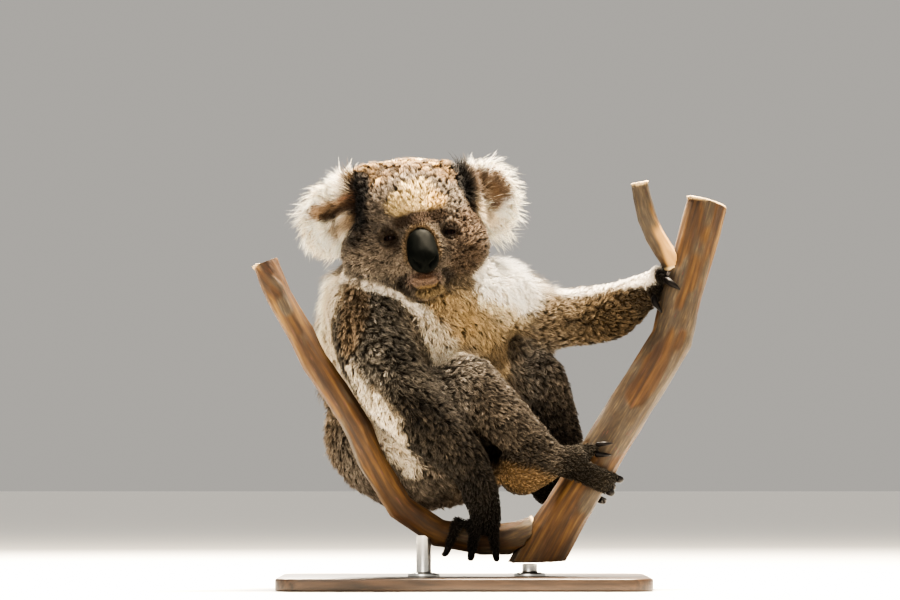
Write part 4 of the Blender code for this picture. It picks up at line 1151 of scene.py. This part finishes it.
skin.calc_loop_triangles()
corner_points = np.zeros(len(skin.loop_triangles) * 3, np.int32)
corner_loops = corner_points.copy()
skin.loop_triangles.foreach_get("vertices", corner_points)
skin.loop_triangles.foreach_get("loops", corner_loops)
corner_points = corner_points.reshape(-1, 3)
corner_loops = corner_loops.reshape(-1, 3)
loop_uvs = np.zeros(len(skin.loops) * 2, np.float32)
skin.uv_layers["OFBake"].uv.foreach_get("vector", loop_uvs)
loop_uvs = loop_uvs.reshape(-1, 2)

# None grows on the edge of the nose and the rims of the lids, and the lips have a short sparse fuzz.
LIP_SPARSER = 0.88
LIP_SHORTER = 0.70
haired = smooth_step(from_nose, 0.0004, 0.0016) * smooth_step(lid_edge, 0.95, 1.1)
haired = haired * (1 - LIP_SPARSER * lips)
tuft_length = tuft_length * (1 - LIP_SHORTER * lips)

draw = np.random.default_rng(7)
triangle = skin_points[corner_points]
sides = np.cross(triangle[:, 1] - triangle[:, 0], triangle[:, 2] - triangle[:, 0])
areas = np.linalg.norm(sides, axis=1) / 2
density = tuft_density * haired * (1 - ear_share)
chance = areas * density[corner_points].mean(axis=1)


def scatter(chance):
    """Roots spread over the skin: for each its triangle and its place on that triangle."""
    total = np.cumsum(chance)
    count = int(total[-1])
    picks = np.searchsorted(total, (np.arange(count) + draw.random(count)) / count * total[-1])
    picks = np.minimum(picks, len(chance) - 1)
    a, b = draw.random((2, count))
    flip = a + b > 1
    a, b = np.where(flip, 1 - a, a), np.where(flip, 1 - b, b)
    return picks, np.column_stack([1 - a - b, a, b])


def at_roots(field, picks, shares):
    corners = field[corner_points[picks]]
    return np.einsum("ij...,ij->i...", corners, shares)


# The piece of the coat that the tufts on each part go into.
GROUPS = {
    "upper_arm": "arm", "forearm": "arm", "thigh": "leg", "shank": "leg", "hand": "paws", "foot": "paws",
}


def group_of(part):
    group = GROUPS.get(kind_of(part), part)
    return group + part.removeprefix(kind_of(part)) if group in ("arm", "leg") else group


fur, tree, shader = new_material("soft_wool", {
    "Roughness": 0.75, "IOR": 1.45, "Specular IOR Level": 0.12,
    "Sheen Weight": 0.04, "Sheen Roughness": 0.5,
})
# Soft and almost without shine: each tuft is dark at its root and pale at its tip.
tuft_colour = add(tree, "ShaderNodeAttribute", {"attribute_name": "tuft_colour"}).outputs["Color"]
where = add(tree, "ShaderNodeTexCoord").outputs["Object"]
fine = add(tree, "ShaderNodeTexNoise", {"Scale": 1400.0, "Detail": 1.0}, {"Vector": where}).outputs["Fac"]
tone = add(tree, "ShaderNodeValToRGB", {"stops": ((0.3, "#CFCBC7"), (0.7, "#FFFFFF"))}, {"Fac": fine})
tone = add(tree, "ShaderNodeMix", TINTED, {6: tuft_colour, 7: tone.outputs[0]})
tree.links.new(tone.outputs[2], shader.inputs["Base Color"])


def towards_skin(vectors, normal):
    """Directions laid flat on the skin."""
    return unit(vectors - normal * np.sum(vectors * normal, axis=1, keepdims=True))


def ear_paint(places, base, jitter):
    """The colour of the long ear hairs along their length, from the patches that they pass through."""
    flat = in_head(places.reshape(-1, 3)) * [1.0, 0.0, 1.0]
    hue = np.repeat(base, places.shape[1], axis=0)
    jitter = np.repeat(jitter, places.shape[1])
    for code, strength, chain in EAR_PATCHES:
        amount = strength * smooth_step(chain_distance(flat, chain) + jitter, 1.30, 0.70)
        hue = hue + amount[:, None] * (np.array(linear(code)) - hue)
    return hue.reshape(len(base), places.shape[1], 3)


skin_surface = surface_of(skin)
START_DEEP = 0.0008  # how far a tuft's root is under the skin
LEAD_TURN = 0.30  # how far a lock turns aside, in radians, and so on for all of its tufts
LOCK_TONE = 0.26  # how much locks differ in brightness
TUFT_TONE = 0.24
DARK_FLECKS = 0.10  # the share of dark tufts in a dark coat
PALE_FLECKS = 0.12
BRIGHTEST = 0.92
FLATNESS = 0.6  # a tuft's thickness as a share of its width
UNWRAP_REACH = 0.0015  # half a tuft's length on the unwrapped skin


def grow(picks, shares, length, rise, width, lock, gather, tones, rings=1, loose=0.06,
         sway=0.22, contrast=1.0, paint=None, way=None):
    """Tufts of hair: one closed spindle for each root, from a point in the skin to a point at its tip.

    Gives the points of each, their colours, and their places on the unwrapped skin. Length, rise above the
    skin, width and lock size are given for each tuft, and gather says how far its tip goes to its lock's.
    """
    count = len(picks)
    root = at_roots(skin_points, picks, shares)
    normal = unit(at_roots(skin_normals, picks, shares))
    along = towards_skin(at_roots(lie, picks, shares) if way is None else way, normal)
    close_by = at_roots(tuft_density, picks, shares) * lock**2
    leaders = np.flatnonzero(draw.random(count) < 1.0 / np.maximum(close_by, 1.0))
    near = KDTree(len(leaders))
    for index, place in enumerate(root[leaders]):
        near.insert(place, index)
    near.balance()
    lead = leaders[[near.find(p)[1] for p in root]]
    turn = draw.normal(0, LEAD_TURN, count)[lead] + draw.normal(0, sway, count)
    along = along * np.cos(turn)[:, None] + np.cross(normal, along) * np.sin(turn)[:, None]
    beside = np.cross(normal, along)
    stray = draw.random(count) < loose
    rise = rise * draw.uniform(0.72, 1.06, count)[lead] * draw.uniform(0.82, 1.06, count)
    rise = rise * np.where(stray, 1.2, 1.0)
    length = np.maximum(length * draw.uniform(0.75, 1.15, count), rise * 1.08)
    run = np.sqrt(length**2 - rise**2)
    bend = draw.normal(0, 0.16, count) * length
    pull = np.where(stray, 0.1, gather)
    steps = np.linspace(0.0, 1.0, rings + 2)

    def paths(scale):
        found = []
        for t in steps:
            place = root + along * (run * scale * t**1.15)[:, None]
            place = place + beside * (bend * scale * t * t)[:, None]
            place = place + normal * (rise * scale * (1 - (1 - t) ** 1.9) - START_DEEP * (t == 0))[:, None]
            found.append(place + (pull * t)[:, None] * (place[lead] - place))
        return np.stack(found, axis=1)

    # A tuft that would run into the skin is cut short.
    made = paths(np.ones(count))
    start = root + normal * 0.0015
    reach = np.linalg.norm(made[:, -1] - start, axis=1)
    scale = np.ones(count)
    for i, (a, b, far) in enumerate(zip(start, made[:, -1], reach)):
        a = Vector(a)
        hit = skin_surface.ray_cast(a, Vector(b) - a, far)[3]
        if hit is not None:
            scale[i] = min(1.0, max(0.25, 0.85 * hit / far))
    made = paths(scale)

    thick = width * draw.uniform(0.75, 1.2, count)
    spin = draw.uniform(0, 2 * math.pi, count)
    points = [made[:, 0]]
    for ring in range(1, rings + 1):
        size = thick * (1.0 if ring == 1 else 0.62) / 2
        for corner in range(3):
            angle = spin + corner * 2 * math.pi / 3
            offset = beside * (np.cos(angle) * size)[:, None]
            offset = offset + normal * (np.sin(angle) * size * FLATNESS)[:, None]
            points.append(made[:, ring] + offset)
    points.append(made[:, -1])
    points = np.stack(points, axis=1)
    each = points.shape[1]

    base = at_roots(colour, picks, shares)
    base = base + 0.55 * (base[lead] - base)
    contrast = contrast * (1 - 0.5 * smooth_step(base.mean(axis=1), 0.45, 0.80))
    lock_tone = draw.normal(0, 1, count)[lead]
    tuft_tone = draw.normal(0, 1, count)
    brightness = np.exp(contrast * (LOCK_TONE * lock_tone + TUFT_TONE * tuft_tone))
    fleck = draw.random(count)
    dark_fleck = DARK_FLECKS * contrast * smooth_step(base.mean(axis=1), 0.45, 0.15)
    brightness = np.where(fleck < dark_fleck, brightness * 0.40, brightness)
    brightness = np.where(fleck > 1 - PALE_FLECKS * contrast, brightness * 1.5, brightness)
    level = np.concatenate([[0], np.repeat(np.arange(1, rings + 1), 3), [rings + 1]])
    pale = np.sqrt(base.mean(axis=1, keepdims=True))  # pale hair hides its roots better
    tone = np.array(tones)[level][None, :]
    tone = tone + np.maximum(1 - tone, 0.0) * 0.9 * pale**1.5
    shade = tone * brightness[:, None] ** (level / (rings + 1))[None, :]
    values = np.ones((count, each, 4))
    hue = paint(points, base, 0.16 * lock_tone + 0.14 * tuft_tone) if paint else base[:, None, :]
    values[:, :, :3] = np.clip(hue * shade[:, :, None], 0.0, BRIGHTEST)
    place_on_patch = np.zeros((each, 2))
    place_on_patch[:, 1] = -UNWRAP_REACH + 2 * UNWRAP_REACH * level / (rings + 1)
    place_on_patch[1:-1, 0] = np.tile([-UNWRAP_REACH, 0.0, UNWRAP_REACH], rings)
    home = np.einsum("ijk,ij->ik", loop_uvs[corner_loops[picks]], shares)
    return points, values, home[:, None, :] + place_on_patch[None]


def weave(name, slot, points, values, uvs):
    """A piece of the coat, of some of the tufts that have been grown."""
    count, each = points.shape[:2]
    faces = [(0, 1 + (k + 1) % 3, 1 + k) for k in range(3)]
    for low in range(1, each - 4, 3):
        for k in range(3):
            after = (k + 1) % 3
            faces += [(low + k, low + after, low + 3 + after), (low + k, low + 3 + after, low + 3 + k)]
    faces += [(each - 4 + k, each - 4 + (k + 1) % 3, each - 1) for k in range(3)]
    indices = (np.arange(count)[:, None, None] * each + np.array(faces)[None]).reshape(-1)
    mesh = bpy.data.meshes.new(name)
    mesh.vertices.add(count * each)
    mesh.vertices.foreach_set("co", points.astype(np.float32).ravel())
    mesh.loops.add(len(indices))
    mesh.loops.foreach_set("vertex_index", indices.astype(np.int32))
    mesh.polygons.add(len(indices) // 3)
    mesh.polygons.foreach_set("loop_start", np.arange(0, len(indices), 3, dtype=np.int32))
    mesh.update(calc_edges=True)
    mesh.shade_smooth()
    write_field(mesh, "tuft_colour", values.reshape(-1, 4))
    unwrap = mesh.uv_layers.new(name="OFBake").uv
    unwrap.foreach_set("vector", uvs.reshape(-1, 2)[indices].astype(np.float32).ravel())
    fit(show(mesh, fur), slot)


PIECE_TUFTS = 32000  # a part of the coat with more tufts than this is made in several pieces
picks, shares = scatter(chance)
root_weights = skin_weights[corner_points[picks]].mean(axis=1)
root_part = np.array([group_of(part) for part in BODY])[root_weights.argmax(axis=1)]
root_face = at_roots(face_share, picks, shares)
root_part = np.where((root_part == "head") & (root_face > 0.25), "face", root_part)
# How much the tufts of a part differ in brightness, where that isn't the usual amount.
CONTRAST = {"arm_right": 1.3, "leg_right": 1.0, "leg_left": 1.0, "chest": 0.3}
USUAL_CONTRAST = 0.9
length_here = at_roots(tuft_length, picks, shares)
rise_here = at_roots(skin_depth * (1 + 0.5 * lid_share), picks, shares)
width_here = at_roots(tuft_width, picks, shares)
tousled_here = at_roots(tousled, picks, shares)
lock_here = at_roots(lock_size, picks, shares) * (1 + 1.3 * tousled_here)
strength = skin_weights @ np.array([CONTRAST.get(group_of(part), USUAL_CONTRAST) for part in BODY])
strength = at_roots(strength * (1 - 0.60 * face_share), picks, shares) * (1 + 1.7 * tousled_here)
root_pale = smooth_step(at_roots(colour, picks, shares).mean(axis=1), 0.25, 0.65)
root_chest = at_roots(skin_weights[:, BODY.index("chest")], picks, shares)
gather = 0.52 - 0.22 * root_face - 0.24 * np.maximum(root_pale, root_chest)
grown = grow(picks, shares, length_here, rise_here, width_here, lock_here, gather, (0.20, 0.62, 1.38),
             contrast=strength)
LIMBS = ("arm_right", "arm_left", "leg_right", "leg_left", "paws")
for group in ("face", "head", "neck", "chest", "rump") + LIMBS:
    chosen = np.flatnonzero(root_part == group)
    pieces = -(-len(chosen) // PIECE_TUFTS)
    for number, some in enumerate(np.array_split(chosen, pieces)):
        name = "coat_" + group + ("_%d" % (number + 1) if pieces > 1 else "")
        weave(name, "paw_fur" if group == "paws" else "grey_fur", *(field[some] for field in grown))

# Ears: long hairs fan out from the root of the ear over its front and past its rim, and short ones behind.
EAR_TONES = (0.42, 0.80, 1.05, 1.25)  # from root to tip
FAR = 0.15  # where a line starts that finds the outline of the ear
for side, name in ((-1, "right"), (1, "left")):
    ear_surface = surface_of(nodes["ear_" + name].data)
    here = ear_share * (ear_side == side)
    for part, density, rings in (("fringe", 2.2, 2), ("back", 1.0, 1)):
        facing = ear_front if part == "fringe" else 1 - ear_front
        crowd = density * (1.3 - 0.8 * np.clip(ear_rim, 0.0, 1.0)) * 1e6
        picks, shares = scatter(areas * (here * facing * crowd)[corner_points].mean(axis=1))
        root = at_roots(skin_points, picks, shares)
        normal = unit(at_roots(skin_normals, picks, shares))
        way = towards_skin(at_roots(lie, picks, shares), normal)
        hits = [ear_surface.ray_cast(Vector(p + w * FAR), Vector(-w), FAR)[3] for p, w in zip(root, way)]
        room = np.array([0.010 if hit is None else FAR - hit for hit in hits])
        reach = np.where(draw.random(len(room)) < 0.10, 1.25, 1.0)
        length = np.clip(room * draw.uniform(0.72, 1.02, len(room)) * reach, 0.010, 0.048)
        if part == "back":
            length = np.minimum(length, 0.030)
        rise = np.minimum(length * 0.30, 0.0075)
        count = len(picks)
        grown = grow(picks, shares, length, rise, np.full(count, 0.0008), np.full(count, 0.0045), 0.4,
                     EAR_TONES if rings == 2 else (0.5, 0.9, 1.2), rings, contrast=0.75,
                     paint=ear_paint if part == "fringe" else None)
        weave("coat_ear_%s_%s" % (name, part), "ear_fur", *grown)
    # In front of each ear the hair stands off the side of the head and sweeps out over the ear's root.
    from_root = (skin_local * 1000 - [side * 58.0, -10.0, 22.0]) / [11.0, 14.0, 30.0]
    brow = smooth_step(np.linalg.norm(from_root, axis=1), 1.1, 0.8) * (1 - ear_share)
    picks, shares = scatter(areas * brow[corner_points].mean(axis=1) * 1.8e6)
    count = len(picks)
    rises = at_roots(from_root, picks, shares)[:, 2]
    fan = np.column_stack([np.full(count, 0.5 * side), np.full(count, 0.45), rises])
    length = draw.uniform(0.014, 0.032, count)
    grown = grow(picks, shares, length, length * 0.55, np.full(count, 0.0007), np.full(count, 0.0040), 0.35,
                 EAR_TONES, 2, sway=0.35, contrast=0.75, paint=ear_paint,
                 way=fan @ head_matrix[:3, :3].T)
    weave("coat_ear_%s_front" % name, "ear_fur", *grown)

# Loose long hairs that catch the light along the right shoulder and flank and over the left shoulder.
for name, chain, count in (
    ("coat_wisps_right", ((-150, -10, 335, 22), (-178, 10, 285, 26), (-176, 30, 240, 22)), 1500),
    ("coat_wisps_left", ((0, 10, 345, 20), (45, 30, 336, 20), (85, 45, 330, 14)), 900),
):
    near = smooth_step(chain_distance(skin_points, chain), 1.2, 0.8) * (1 - ear_share)
    share = areas * near[corner_points].mean(axis=1)
    picks, shares = scatter(share / share.sum() * (count + 1))
    count = len(picks)
    grown = grow(picks, shares, np.full(count, 0.026), np.full(count, 0.0165), np.full(count, 0.0005),
                 np.full(count, 0.006), 0.25, (0.5, 0.9, 1.3, 1.6), 2, loose=0.2, sway=0.35, contrast=0.5)
    weave(name, "grey_fur", *grown)
